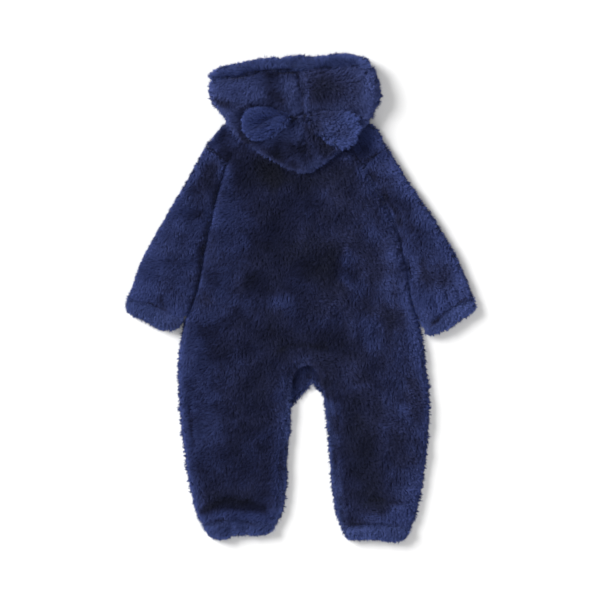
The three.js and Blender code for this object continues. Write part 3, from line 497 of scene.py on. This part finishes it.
# The same on the hood, which lies over the back.
NAP_AND_PAINTED_LIGHT_HOOD = [
    Oval(-40, 334, 24, 8, 6, 0.3),
    Oval(64, 333, 28, 9, 0, 0.4),
    Oval(24, 325, 18, 7, 0, -0.14),
    Oval(-30, 318, 32, 9, 5, -0.24),
    Oval(-58, 310, 18, 9, 4, 0.26),
    Oval(-98, 299, 22, 14, 10, 0.5),
    Oval(31, 298, 20, 24, 0, -0.46),
    Oval(-31, 296, 11, 30, 7, -0.14),
    Oval(-70, 295, 24, 18, 0, 0.4),
    Oval(64, 294, 18, 20, 0, -0.22),
    Oval(103, 294, 15, 40, 0, 0.95),
    Oval(-16, 290, 8, 22, 8, 0.26),
    Oval(-107, 280, 9, 10, 0, -0.26),
    Oval(-28, 280, 10, 9, 0, -0.26),
    Oval(-112, 278, 8, 14, 0, -0.34),
    Oval(-60, 268, 30, 7, -10, -0.24),
    Oval(-2, 268, 12, 16, 0, 0.3),
    Oval(30, 256, 26, 6, 0, -0.26),
    Oval(-88, 234, 18, 12, -50, -0.38),
    Oval(-14, 230, 20, 16, 0, 0.38),
    Oval(26, 225, 13, 14, 0, -0.5),
    Oval(-46, 222, 20, 8, 28, 0.08),
    Oval(-78, 219, 13, 9, -40, -0.42),
    Oval(-66, 213, 14, 8, -38, -0.38),
    Oval(-38, 213, 9, 9, 0, 0.28),
    Oval(50, 212, 26, 8, 24, -0.2),
    Oval(34, 206, 12, 12, 0, -0.34),
    Oval(-44, 205, 50, 9, -33, -0.38),
    Oval(-38, 205, 15, 13, 0, -0.32),
    Oval(0, 204, 42, 14, 0, -0.27),
    Oval(43, 197, 34, 9, 28, -0.26),
    Oval(-9, 184, 9, 7, 0, -0.28),
    Oval(4, 182, 20, 8, 0, -0.3),
]

# And on the ears, which lie on the hood.
NAP_AND_PAINTED_LIGHT_EARS = [
    Oval(-59, 252, 14, 11, 0, 0.5),
    Oval(-44, 243, 16, 5, 20, -0.1),
    Oval(18, 242, 9, 9, 0, -0.26),
    Oval(58, 238, 11, 10, 0, 0.26),
    Oval(24, 230, 20, 9, -36, -0.54),
    Oval(49, 220, 9, 8, 0, -0.16),
]

# ---------------------------------------------------------------- small helpers


def smooth(low, high, value):
    t = np.clip((value - low) / (high - low), 0.0, 1.0)
    return t * t * (3.0 - 2.0 * t)


def squashed(value):
    """The same value near a half, drawn in softly so that it stays between 0 and 1."""
    slope = 4
    return 1 / (1 + np.exp(-slope * (value - 0.5)))


def unit(v):
    return v / np.maximum(np.linalg.norm(v, axis=-1, keepdims=True), 1e-12)


def along_cloth(v, normal):
    """The part of each direction that lies in the cloth."""
    return v - normal * (v * normal).sum(1, keepdims=True)


def turned(way, angle):
    """Level directions turned about Z."""
    c, s = np.cos(angle), np.sin(angle)
    return np.stack([way[:, 0] * c - way[:, 1] * s, way[:, 0] * s + way[:, 1] * c, way[:, 2]], 1)


def is_ear(name):
    """Whether a piece or a group is one of the ears'."""
    return name.startswith("ear")


def bell(away):
    """1 at no distance, and down to a seventh at a distance of 1."""
    return np.exp(-(away ** 2) * 2)


def random_at(i, j, salt):
    """A number from 0 to 1 that belongs to a cell of a grid, from digits far down in a sine."""
    v = np.sin(i * 127.1 + j * 311.7 + salt * 74.7) * 43758.5453
    return v - np.floor(v)


def noise(x, y, size, salt):
    """Soft even noise from -1 to 1 whose lumps are about size across. Each salt gives its own."""
    u, v = x / size, y / size
    i, j = np.floor(u), np.floor(v)
    fu, fv = u - i, v - j
    fu, fv = fu * fu * (3 - 2 * fu), fv * fv * (3 - 2 * fv)
    low = random_at(i, j, salt) * (1 - fu) + random_at(i + 1, j, salt) * fu
    high = random_at(i, j + 1, salt) * (1 - fu) + random_at(i + 1, j + 1, salt) * fu
    return 2 * (low * (1 - fv) + high * fv) - 1


def layers(x, y, rows):
    return sum(much * noise(x, y, size, salt) for much, size, salt in rows)


def wobbled(x, y, wobble):
    """Places shaken a little, so that what is listed doesn't look drawn."""
    return x + layers(x, y, wobble[0]), y + layers(x, y, wobble[1])


def oval(x, y, row):
    """How far places are from an oval's middle, as a share of its size, squared."""
    turn = math.radians(row.turn)
    dx, dy = x / MM - row.x, y / MM - row.y
    along = dx * math.cos(turn) + dy * math.sin(turn)
    across = dy * math.cos(turn) - dx * math.sin(turn)
    return (along / row.long) ** 2 + (across / row.wide) ** 2


def from_line(x, y, line):
    """How far places are from a line of points given in mm."""
    nearest = np.full(len(x), np.inf)
    for (ax, ay), (bx, by) in zip(line, line[1:]):
        ax, ay, bx, by = ax * MM, ay * MM, bx * MM, by * MM
        long = (bx - ax) ** 2 + (by - ay) ** 2
        t = np.clip(((x - ax) * (bx - ax) + (y - ay) * (by - ay)) / long, 0, 1)
        nearest = np.minimum(nearest, np.hypot(x - ax - t * (bx - ax), y - ay - t * (by - ay)))
    return nearest


def creased(group, x, y, what):
    """The sum of the creases on a group, as their depth or as their painted shade and painted light."""
    u, v = wobbled(x, y, CREASE_WOBBLE)
    uneven = CREASE_MEAN + layers(x, y, CREASE_COMES)
    total = np.zeros(len(x))
    for row in CREASES:
        if group in row.on.split():
            away = from_line(u, v, row.line) / (row.width * MM)
            total = total + getattr(row, what) * bell(away) * uneven
    return total


def shape_height(group, x, y):
    """Height that the listed ridges and troughs add, with a little unevenness."""
    height = layers(x, y, UNEVEN_HEIGHT)
    for row in SHAPES.get(group, []):
        height = height + row.much * np.exp(-oval(x, y, row))
    return (height - creased(group, x, y, "depth")) * MM


def nap_and_painted_light(group, x, y):
    """How light the pile is, 0 to 1, before each lock's and fibre's share: nap, painted shade and
    painted light.
    """
    rows = NAP_AND_PAINTED_LIGHT_HOOD if group in ("hood", "hem") else NAP_AND_PAINTED_LIGHT
    if is_ear(group):
        rows = NAP_AND_PAINTED_LIGHT_EARS
    u, v = wobbled(x, y, NAP_WOBBLE)
    shade = BASE_SHADE + GROUP_TONE_AND_PAINTED_LIGHT.get(group, 0.0) + layers(x, y, UNEVEN_SHADE)
    for row in rows:
        # Flatter in the middle than a bell, and steeper at its edge.
        shade = shade + row.much * np.exp(-(oval(u, v, row) ** 1.4) * 0.8)
    # The creases' painted shade in their hollows and painted light on their ridges.
    return shade + creased(group, x, y, "shade")


# ---------------------------------------------------------------- materials


def srgb(*values):
    """A colour given as 0 to 255 sRGB values, as the shader's linear numbers."""
    linear = [(v / 255 / 12.92) if v <= 10 else ((v / 255 + 0.055) / 1.055) ** 2.4 for v in values]
    return (*linear, 1.0)


def new_material(name):
    material = bpy.data.materials.new(name)
    material.use_nodes = True
    nodes, links = material.node_tree.nodes, material.node_tree.links
    shader = next(n for n in nodes if n.type == "BSDF_PRINCIPLED")
    return material, nodes, links, shader


def new_ramp(nodes, first, last, place=None, between=None):
    """A ramp of colours, with one more at a place between its ends if that is given."""
    ramp = nodes.new("ShaderNodeValToRGB")
    ramp.color_ramp.elements[0].color = first
    ramp.color_ramp.elements[1].color = last
    if place:
        ramp.color_ramp.elements.new(place).color = between
    return ramp


def pile_material(name, dark, middle, light):
    """The fibres. Their map holds each fibre's shade across, and the way from root to tip up."""
    material, nodes, links, shader = new_material(name)
    place = nodes.new("ShaderNodeUVMap")
    place.uv_map = "OFBake"
    parts = nodes.new("ShaderNodeSeparateXYZ")
    links.new(place.outputs["UV"], parts.inputs[0])
    shade = new_ramp(nodes, srgb(*dark), srgb(*light), 0.5, srgb(*middle))
    links.new(parts.outputs["X"], shade.inputs["Fac"])
    # Painted shade at the roots, where fibres shade each other, and painted light on the tips, which are
    # lighter and bluer than the fibre's own shade.
    painted_root_shade_tip_light = new_ramp(nodes, (0.5, 0.5, 0.5, 1), (1.25, 1.28, 1.35, 1), 0.45, (0.8, 0.8, 0.82, 1))
    links.new(parts.outputs["Y"], painted_root_shade_tip_light.inputs["Fac"])
    product = nodes.new("ShaderNodeMix")
    product.data_type = "RGBA"
    product.blend_type = "MULTIPLY"
    product.clamp_result = False
    product.inputs["Factor"].default_value = 1.0
    links.new(shade.outputs["Color"], product.inputs["A"])
    links.new(painted_root_shade_tip_light.outputs["Color"], product.inputs["B"])
    links.new(product.outputs["Result"], shader.inputs["Base Color"])
    shader.inputs["Roughness"].default_value = 0.62
    shader.inputs["Specular IOR Level"].default_value = 0.06
    shader.inputs["Sheen Weight"].default_value = 0.4
    shader.inputs["Sheen Roughness"].default_value = 0.35
    shader.inputs["Sheen Tint"].default_value = srgb(150, 158, 200)
    return material


def ground_material():
    """The knitted ground under the pile: dark navy, with fine stubble and a little unevenness."""
    material, nodes, links, shader = new_material("fleece_ground")
    place = nodes.new("ShaderNodeTexCoord")
    broad = nodes.new("ShaderNodeTexNoise")
    broad.inputs["Scale"].default_value = 60
    broad.inputs["Detail"].default_value = 4
    fine = nodes.new("ShaderNodeTexNoise")
    fine.inputs["Scale"].default_value = 900
    fine.inputs["Detail"].default_value = 3
    ramp = new_ramp(nodes, srgb(20, 22, 40), srgb(28, 32, 62))
    bump = nodes.new("ShaderNodeBump")
    bump.inputs["Strength"].default_value = 0.5
    bump.inputs["Distance"].default_value = 0.6 * MM
    links.new(place.outputs["Object"], broad.inputs["Vector"])
    links.new(place.outputs["Object"], fine.inputs["Vector"])
    links.new(broad.outputs["Fac"], ramp.inputs["Fac"])
    links.new(fine.outputs["Fac"], bump.inputs["Height"])
    links.new(ramp.outputs["Color"], shader.inputs["Base Color"])
    links.new(bump.outputs["Normal"], shader.inputs["Normal"])
    shader.inputs["Roughness"].default_value = 0.95
    shader.inputs["Specular IOR Level"].default_value = 0.1
    return material


GROUND = ground_material()
PILE = {
    "fleece": pile_material("pile_body", (22, 24, 35), (40, 44, 74), (68, 80, 134)),
    "fleece_trim": pile_material("pile_trim", (23, 25, 36), (43, 47, 78), (72, 85, 138)),
    "fleece_hood": pile_material("pile_hood", (23, 25, 35), (42, 46, 76), (72, 83, 134)),
    "fleece_ear": pile_material("pile_ear", (25, 27, 41), (44, 49, 81), (72, 86, 143)),
}
SLOT_OF = {row["node"]: row["material_slot"] for row in frame["record"]["subparts"]}

# ---------------------------------------------------------------- shells of cloth


def smoothed_shell(node):
    """The node's form as a smooth mesh of quads, twice divided."""
    bm = bmesh.new()
    bm.from_mesh(frame["nodes"][node].data)
    bmesh.ops.remove_doubles(bm, verts=bm.verts, dist=0.01 * MM)
    bmesh.ops.join_triangles(
        bm, faces=bm.faces, angle_face_threshold=math.radians(40), angle_shape_threshold=math.radians(80)
    )
    crease = bm.edges.layers.float.new("crease_edge")
    corner = bm.verts.layers.float.new("crease_vert")
    crispness = 0.35 if is_ear(node) else 0.8
    for edge in bm.edges:
        if edge.is_manifold and edge.calc_face_angle(0) > SHARP:
            edge[crease] = crispness
    # A corner is where three or more crisp edges meet.
    for vert in bm.verts:
        if sum(edge[crease] > 0.5 for edge in vert.link_edges) > 2:
            vert[corner] = 1.0
    mesh = bpy.data.meshes.new("cloth_" + node)
    bm.to_mesh(mesh)
    bm.free()
    piece = bpy.data.objects.new("cloth_" + node, mesh)
    bpy.context.scene.collection.objects.link(piece)
    divide = piece.modifiers.new("divide", "SUBSURF")
    divide.levels = divide.render_levels = 2
    seen = piece.evaluated_get(bpy.context.evaluated_depsgraph_get())
    final = bpy.data.meshes.new_from_object(seen)
    piece.modifiers.clear()
    piece.data = final
    final.name = "cloth_" + node
    bpy.data.meshes.remove(mesh)
    return piece


def read_mesh(mesh):
    """(places, normals, triangles) as arrays."""
    count = len(mesh.vertices)
    places = np.empty(count * 3, np.float32)
    mesh.vertices.foreach_get("co", places)
    normals = np.empty(count * 3, np.float32)
    mesh.vertices.foreach_get("normal", normals)
    mesh.calc_loop_triangles()
    triangles = np.empty(len(mesh.loop_triangles) * 3, np.int32)
    mesh.loop_triangles.foreach_get("vertices", triangles)
    return (
        places.reshape(-1, 3).astype(float),
        normals.reshape(-1, 3).astype(float),
        triangles.reshape(-1, 3),
    )


def write_places(mesh, places):
    mesh.vertices.foreach_set("co", places.astype(np.float32).ravel())
    mesh.update()


def open_air(surfaces):
    """For each shell and each place on it: how open the view is, from 0 to 1, and which way it opens."""
    places, faces, start = [], [], 0
    for points, _, triangles in surfaces.values():
        places.append(points)
        faces.append(triangles + start)
        start += len(points)
    tree = BVHTree.FromPolygons(np.vstack(places).tolist(), np.vstack(faces).tolist())
    share, opens = {}, {}
    for name, (points, normals, _) in surfaces.items():
        side = unit(np.cross(normals, np.where(np.abs(normals[:, 2:]) < 0.9, [[0, 0, 1]], [[1, 0, 0]])))
        other = np.cross(normals, side)
        ways = [normals]
        for k in range(VIEWS_ROUND):
            angle = 2 * math.pi * k / VIEWS_ROUND
            flat = side * math.cos(angle) + other * math.sin(angle)
            ways.append(normals * math.cos(VIEW_TILT) + flat * math.sin(VIEW_TILT))
        starts = (points + normals * VIEW_START).tolist()
        total, free = np.zeros((len(points), 3)), np.zeros(len(points))
        for way in ways:
            clear = [tree.ray_cast(p, d, VIEW_REACH)[0] is None for p, d in zip(starts, way.tolist())]
            free += clear
            total += way * np.array(clear)[:, None]
        share[name] = free / len(ways)
        opens[name] = unit(total + normals * 1e-6)
    return share, opens


def from_seams(piece, places, air):
    """How far each place is from the nearest seam on top of its piece, and the level way across it."""
    bm = bmesh.new()
    bm.from_mesh(piece.data)
    ends, ways = [], []
    for edge in bm.edges:
        on_top = edge.verts[0].co.z > SEAM_HEIGHT and air[edge.verts[0].index] < SEAM_OPEN
        if on_top and edge.is_manifold and edge.calc_face_angle(0) > SEAM_ANGLE:
            cut = min(edge.link_faces, key=lambda face: abs(face.normal.z))
            ends.append(edge.verts[0].co.copy())
            ways.append((cut.normal.x, cut.normal.y, 0))
    bm.free()
    if not ends:
        return np.full(len(places), FAR), np.zeros(places.shape)
    tree = tree_of(ends)
    found = [tree.find(p) for p in places.tolist()]
    return np.array([f[2] for f in found]), unit(np.array([ways[f[1]] for f in found]))


def tree_of(places):
    tree = KDTree(len(places))
    for i, place in enumerate(places):
        tree.insert(place, i)
    tree.balance()
    return tree


def level_distance(places, others):
    """How far places are, seen from above, from the nearest of some others."""
    tree = tree_of([(x, y, 0) for x, y, _ in others.tolist()])
    return np.array([tree.find((x, y, 0))[2] for x, y, _ in places.tolist()])


def from_outline(node, surfaces, air, opens):
    """How far each place is from where the garment's own outline or a free edge is."""
    around = [
        surfaces[other][0][(np.abs(opens[other][:, 2]) < OUTLINE_LEVEL) & (air[other] > OUTLINE_OPEN)]
        for other in PIECES if is_ear(other) == is_ear(node) and other != "hood_under"
    ]
    return level_distance(surfaces[node][0], np.vstack(around))


def painted_beside_shade(node, surfaces):
    """The painted shade or painted light that a piece gets from those beside it or over it."""
    places = surfaces[node][0]
    shade = np.zeros(len(places))
    for low, others, reach, strength in PAINTED_SHADE_BESIDE:
        if low == node:
            away = level_distance(places, np.vstack([surfaces[other][0] for other in others]))
            shade += strength * bell(away / MM / reach)
    return shade


def shared_out(mesh, move, open_share):
    """Places hidden between neighbours move as the open places next to them do."""
    ends = np.empty(len(mesh.edges) * 2, np.int32)
    mesh.edges.foreach_get("vertices", ends)
    a, b = ends.reshape(-1, 2).T
    count = np.bincount(np.concatenate([a, b]), minlength=len(move))[:, None]
    hidden = (open_share < HIDDEN)[:, None]
    for _ in range(SPREAD_STEPS):
        around = np.zeros_like(move)
        np.add.at(around, a, move[b])
        np.add.at(around, b, move[a])
        move = np.where(hidden, around / count, move)
    return move


def settle(mesh, group, places, opens, air, seam, across):
    """Sinks the ground under its pile, and adds the listed shapes."""
    open_share = smooth(*OPEN_TO_SINK, air)
    room = PILE_ROOM_SIDE * (1 - SINKS_LESS * (1 - smooth(*SINKS_FROM_SEAM, seam)))
    room = room + (PILE_ROOM - room) * smooth(*FACING_UP, opens[:, 2])
    room = room + (PILE_ROOM_UNDER - room) * smooth(*FACING_DOWN, -opens[:, 2])
    if is_ear(group):
        room = np.full(len(air), PILE_ROOM_EAR)
    move = -opens * (room * open_share)[:, None]
    close = 1 - smooth(*SPREADS_FROM_SEAM, seam)
    move -= across * ((move * across).sum(1) * close)[:, None]
    sunk = places + shared_out(mesh, move, open_share)
    lifted = smooth(*(EAR_TOP if is_ear(group) else TOP), places[:, 2])
    sunk[:, 2] += shape_height(group, places[:, 0], places[:, 1]) * lifted
    for row in DRAWN_IN:
        if row.on == group:
            away = np.hypot(places[:, 0] / MM - row.x, places[:, 1] / MM - row.y) / row.reach
            sunk[:, :2] += np.exp(-(away ** 2))[:, None] * np.array(row.by) * MM
    return sunk


shells = {node: smoothed_shell(node) for node in PIECES}
surfaces = {node: read_mesh(piece.data) for node, piece in shells.items()}
air, opens = open_air(surfaces)
seams = {node: from_seams(shells[node], surfaces[node][0], air[node]) for node in PIECES}
outline_distance = {node: from_outline(node, surfaces, air, opens) for node in PIECES}
painted_neighbour_shade = {node: painted_beside_shade(node, surfaces) for node in PIECES}
for node, piece in shells.items():
    sunk = settle(piece.data, PIECES[node], surfaces[node][0], opens[node], air[node], *seams[node])
    write_places(piece.data, sunk)
    piece.data.polygons.foreach_set("use_smooth", [True] * len(piece.data.polygons))
    piece.data.materials.clear()
    piece.data.materials.append(GROUND)
    surfaces[node] = read_mesh(piece.data)

# ---------------------------------------------------------------- the pile

random = np.random.default_rng(SEED)


def own(count):
    """Each fibre's own number, from -0.5 to 0.5."""
    return random.random(count) - 0.5


def scattered(node):
    """Roots spread over the open part of a shell: places, normals and what the pile there needs."""
    points, normals, triangles = surfaces[node]
    a, b, c = (points[triangles[:, k]] for k in range(3))
    cross = np.cross(b - a, c - a)
    area = np.linalg.norm(cross, axis=1) / 2
    under = smooth(*UNDERNEATH, -unit(cross)[:, 2])
    per_mm2 = FIBRES_PER_MM2 + (FIBRES_PER_MM2_UNDER - FIBRES_PER_MM2) * under
    expected = area / MM ** 2 * (smooth(*OPEN_TO_GROW, air[node][triangles].mean(1)) * per_mm2)
    count = int(expected.sum())
    chosen = random.choice(len(area), count, p=expected / expected.sum())
    u, v = random.random(count), random.random(count)
    flip = u + v > 1
    u[flip], v[flip] = 1 - u[flip], 1 - v[flip]
    w = 1 - u - v
    t = triangles[chosen]

    def blend(values):
        p, q, r = values[t[:, 0]], values[t[:, 1]], values[t[:, 2]]
        if values.ndim == 2:
            return p * w[:, None] + q * u[:, None] + r * v[:, None]
        return p * w + q * u + r * v

    fields = (*seams[node], outline_distance[node], painted_neighbour_shade[node])
    return blend(points), unit(blend(normals)), *(blend(field) for field in fields)


def slanted(root):
    """Level places that also move with height, so that nothing runs straight down the sides."""
    shift = LOCK_SLANT * root[:, 2]
    return root[:, 0] + shift, root[:, 1] + shift


def locks(root):
    """What the fibres of each root's lock share: numbers from -0.5 to 0.5, and the lock's middle."""
    u, v = slanted(root)
    i, j = np.floor(u / LOCK_SIZE + layers(u, v, LOCKS_WANDER)), np.floor(v / LOCK_SIZE)
    lock = {name: random_at(i, j, LOCK_SALT + k) - 0.5 for k, name in enumerate(LOCK_NUMBERS)}
    middle = np.stack([i + LOCK_MIDDLE * lock["x"], j + LOCK_MIDDLE * lock["y"]], 1) + 0.5
    return lock, middle * LOCK_SIZE - LOCK_SLANT * root[:, 2:]


def pile_way(group, x, y):
    """The way that the pile lies at each place, level, before it is laid along the cloth."""
    lie = LIE[group]
    if "root" in lie:
        way = np.stack([x / MM - lie["root"][0], y / MM - lie["root"][1], np.zeros(len(x))], 1)
    else:
        aside = np.clip((x / MM - lie["middle"]) / lie["over"], -1, 1) * lie["spread"]
        way = np.stack([lie["along"][0] + aside, np.full(len(x), lie["along"][1]), np.zeros(len(x))], 1)
    return turned(unit(way), layers(x, y, SWIRLS) * SWIRL.get(group, 1.0))


def fibre_shade(group, root, lock, patch, near_seam, outline, beside):
    """How light each fibre is, 0 to 1: its tone, with painted shade and painted light from seams,
    neighbours and outline.
    """
    x, y = root[:, 0], root[:, 1]
    shade = nap_and_painted_light(group, x, y) + LOCK_SHADE * lock["shade"] + FIBRE_SHADE * own(len(root))
    # Painted shade where a patch stands the pile steeper, and the painted shade and light from the
    # pieces beside.
    shade = shade + layers(*slanted(root), FINE_SHADE) - PATCH_PAINTED_SHADE * patch + beside
    # Painted shade in the groove along a seam, coming and going along it.
    comes = SEAM_MEAN + layers(x, y, SEAM_COMES)
    shade = shade + SEAM_PAINTED_SHADE.get(group, SEAM_PAINTED_SHADE_ELSEWHERE) * near_seam * comes
    # Painted rim light, lighter towards the garment's outline.
    painted_rim = PAINTED_RIM_LIGHT * PAINTED_RIM_MORE.get(group, 1.0)
    return squashed(shade + painted_rim * np.exp(-outline / PAINTED_RIM_REACH))


def fibres(node):
    """Both corners of the root, the tip and the shade of each of a piece's fibres."""
    group = PIECES[node]
    # beside holds the painted shade and painted light from the pieces beside or over this one.
    root, normal, seam, across_seam, outline, beside = scattered(node)
    count = len(root)
    lock, middle = locks(root)
    side = 1 - np.abs(normal[:, 2])
    under = smooth(*UNDERNEATH, -normal[:, 2])
    near_seam = np.zeros(count) if is_ear(group) else 1 - smooth(*LIES_FROM_SEAM, seam)
    near_edge = np.exp(-outline / TUFT_REACH)
    patch = layers(root[:, 0], root[:, 1], PATCHES)
    # The way along the cloth, which strays at a seam and stands in tufts at the outline.
    turn = LOCK_TURN * lock["turn"] + FIBRE_TURN * own(count)
    way = turned(pile_way(group, root[:, 0], root[:, 1]), turn)
    way[:, 2] -= SIDE_DROP * side
    stray = random.normal(0, SEAM_STRAY, (count, 3))
    way = way + (stray + across_seam) * near_seam[:, None]
    tuft = np.stack([lock["x"], lock["y"], lock["length"]], 1)
    way = unit(along_cloth(way + TUFT * tuft * near_edge[:, None], normal))
    # How steep it stands, and how long it is.
    lean = LEAN + LEAN_SIDE * side + PATCH_LEAN * patch
    lean = lean + LOCK_LEAN * lock["lean"] + FIBRE_LEAN * own(count)
    lean = np.radians(lean * (1 - under) + LEAN_UNDER * under)
    length = FIBRE_LENGTH * (MEAN_LENGTH + OWN_LENGTH * own(count) + LOCK_LENGTH * lock["length"])
    length = length * (1 - SEAM_SHORTER * near_seam) * (1 - SIDE_SHORTER * side)
    length = length * LENGTHS.get(group, LENGTH_ELSEWHERE) * (1 + TUFT_LENGTH * lock["turn"] * near_edge)
    step = way * np.cos(lean)[:, None] + normal * np.sin(lean)[:, None]
    tip = root + step * length[:, None]
    # Tips of one lock draw together.
    pull = np.zeros((count, 3))
    pull[:, :2] = middle - root[:, :2]
    pull = along_cloth(pull, normal)
    reach = np.linalg.norm(pull, axis=1)
    pull *= np.minimum(1, LOCK_PULL_MOST / np.maximum(reach, 1e-9))[:, None]
    tip += pull * ((LOCK_PULL + LOCK_PULL_SIDE * side) * (1 - under))[:, None]
    # Each fibre is rolled about itself.
    across = unit(np.cross(step, normal))
    roll = FIBRE_ROLL * own(count)
    across = unit(across * np.cos(roll)[:, None] + np.cross(step, across) * np.sin(roll)[:, None])
    shade = fibre_shade(group, root, lock, patch, near_seam, outline, beside)
    half = across * (FIBRE_WIDTH / 2 * (1 + OWN_WIDTH * own(count)))[:, None]
    root = root - normal * ROOT_DEPTH
    return root - half, root + half, tip, shade


def pile_piece(name, node, left, right, tip, shade):
    """One mesh of many fibres, a tapered face each."""
    count = len(shade)
    points = np.stack([left, right, tip], 1).reshape(-1, 3)
    points[:, 2] = np.maximum(points[:, 2], FLOOR_GAP)
    mesh = bpy.data.meshes.new(name)
    mesh.vertices.add(count * 3)
    mesh.vertices.foreach_set("co", points.astype(np.float32).ravel())
    mesh.loops.add(count * 3)
    mesh.loops.foreach_set("vertex_index", np.arange(count * 3, dtype=np.int32))
    mesh.polygons.add(count)
    mesh.polygons.foreach_set("loop_start", np.arange(0, count * 3, 3, dtype=np.int32))
    mesh.update(calc_edges=True)
    corners = ((-MAP_HALF, MAP_ROOT), (MAP_HALF, MAP_ROOT), (0, MAP_TIP))
    places = np.empty((count, 3, 2), np.float32)
    for k, (aside, up) in enumerate(corners):
        places[:, k] = np.stack([shade + aside, np.full(count, up)], 1)
    mesh.uv_layers.new(name="OFBake").data.foreach_set("uv", places.ravel())
    mesh.materials.append(PILE[SLOT_OF[node]])
    piece = bpy.data.objects.new(name, mesh)
    bpy.context.scene.collection.objects.link(piece)
    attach(piece, "root")
    return piece


def pile(node):
    """The pile of one shell, in as many pieces as its fibres need, from head to foot."""
    left, right, tip, shade = fibres(node)
    order = np.argsort(-left[:, 1], kind="stable")
    parts = np.array_split(order, -(-len(order) // MOST_IN_A_PIECE))
    return [
        pile_piece(f"pile_{node}_{k + 1}" if len(parts) > 1 else f"pile_{node}", node,
                   left[part], right[part], tip[part], shade[part])
        for k, part in enumerate(parts)
    ]


# ---------------------------------------------------------------- the shells and their pile, in place of the model's parts

for node, piece in shells.items():
    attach(piece, "root")
    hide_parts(node)
    pile(node)

# ---------------------------------------------------------------- floor, light and camera

FLOOR_WIDTH = 8.0
FLOOR_TONE = 0.93
FRAME_WIDTH = 0.840  # what the camera sees across at the garment
LENS, SENSOR = 240.0, 36.0  # mm
EYE = (-1.0 * MM, -3.2 * MM)  # the camera stands straight above this place
WORLD_LIGHT = 0.33
# Round lamps that look at the origin: the place, how far across in metres, and the power in watts.
LAMPS = {
    "key": ((-5.6, 3.2, 4.2), 4.4, 860),
    "top": ((0.2, 0.3, 2.8), 1.8, 8),
    "fill": ((1.6, -4.6, 2.4), 3.0, 110),
}


def stage():
    mesh = bpy.data.meshes.new("floor")
    h = FLOOR_WIDTH / 2
    mesh.from_pydata([(-h, -h, 0), (h, -h, 0), (h, h, 0), (-h, h, 0)], [], [(0, 1, 2, 3)])
    floor = bpy.data.objects.new("floor", mesh)
    bpy.context.scene.collection.objects.link(floor)
    material, _, _, shader = new_material("floor_white")
    shader.inputs["Base Color"].default_value = (FLOOR_TONE, FLOOR_TONE, FLOOR_TONE, 1)
    shader.inputs["Roughness"].default_value = 0.9
    mesh.materials.append(material)


def lamp(name, place, size, power):
    data = bpy.data.lights.new(name, "AREA")
    data.shape = "DISK"
    data.size = size
    data.energy = power
    light = bpy.data.objects.new(name, data)
    light.location = place
    light.rotation_euler = (-Vector(place)).to_track_quat("-Z", "Y").to_euler()
    bpy.context.scene.collection.objects.link(light)


def surroundings():
    world = bpy.data.worlds.new("studio")
    world.use_nodes = True
    background = world.node_tree.nodes["Background"]
    background.inputs["Color"].default_value = (1, 1, 1, 1)
    background.inputs["Strength"].default_value = WORLD_LIGHT
    bpy.context.scene.world = world


def camera():
    data = bpy.data.cameras.new("camera")
    data.lens = LENS
    data.sensor_width = SENSOR
    eye = bpy.data.objects.new("camera", data)
    eye.location = (*EYE, FRAME_WIDTH * LENS / SENSOR + LAID / 2)
    bpy.context.scene.collection.objects.link(eye)
    bpy.context.scene.camera = eye


stage()
for name, sizes in LAMPS.items():
    lamp(name, *sizes)
surroundings()
camera()
bpy.context.scene.view_settings.view_transform = "Standard"
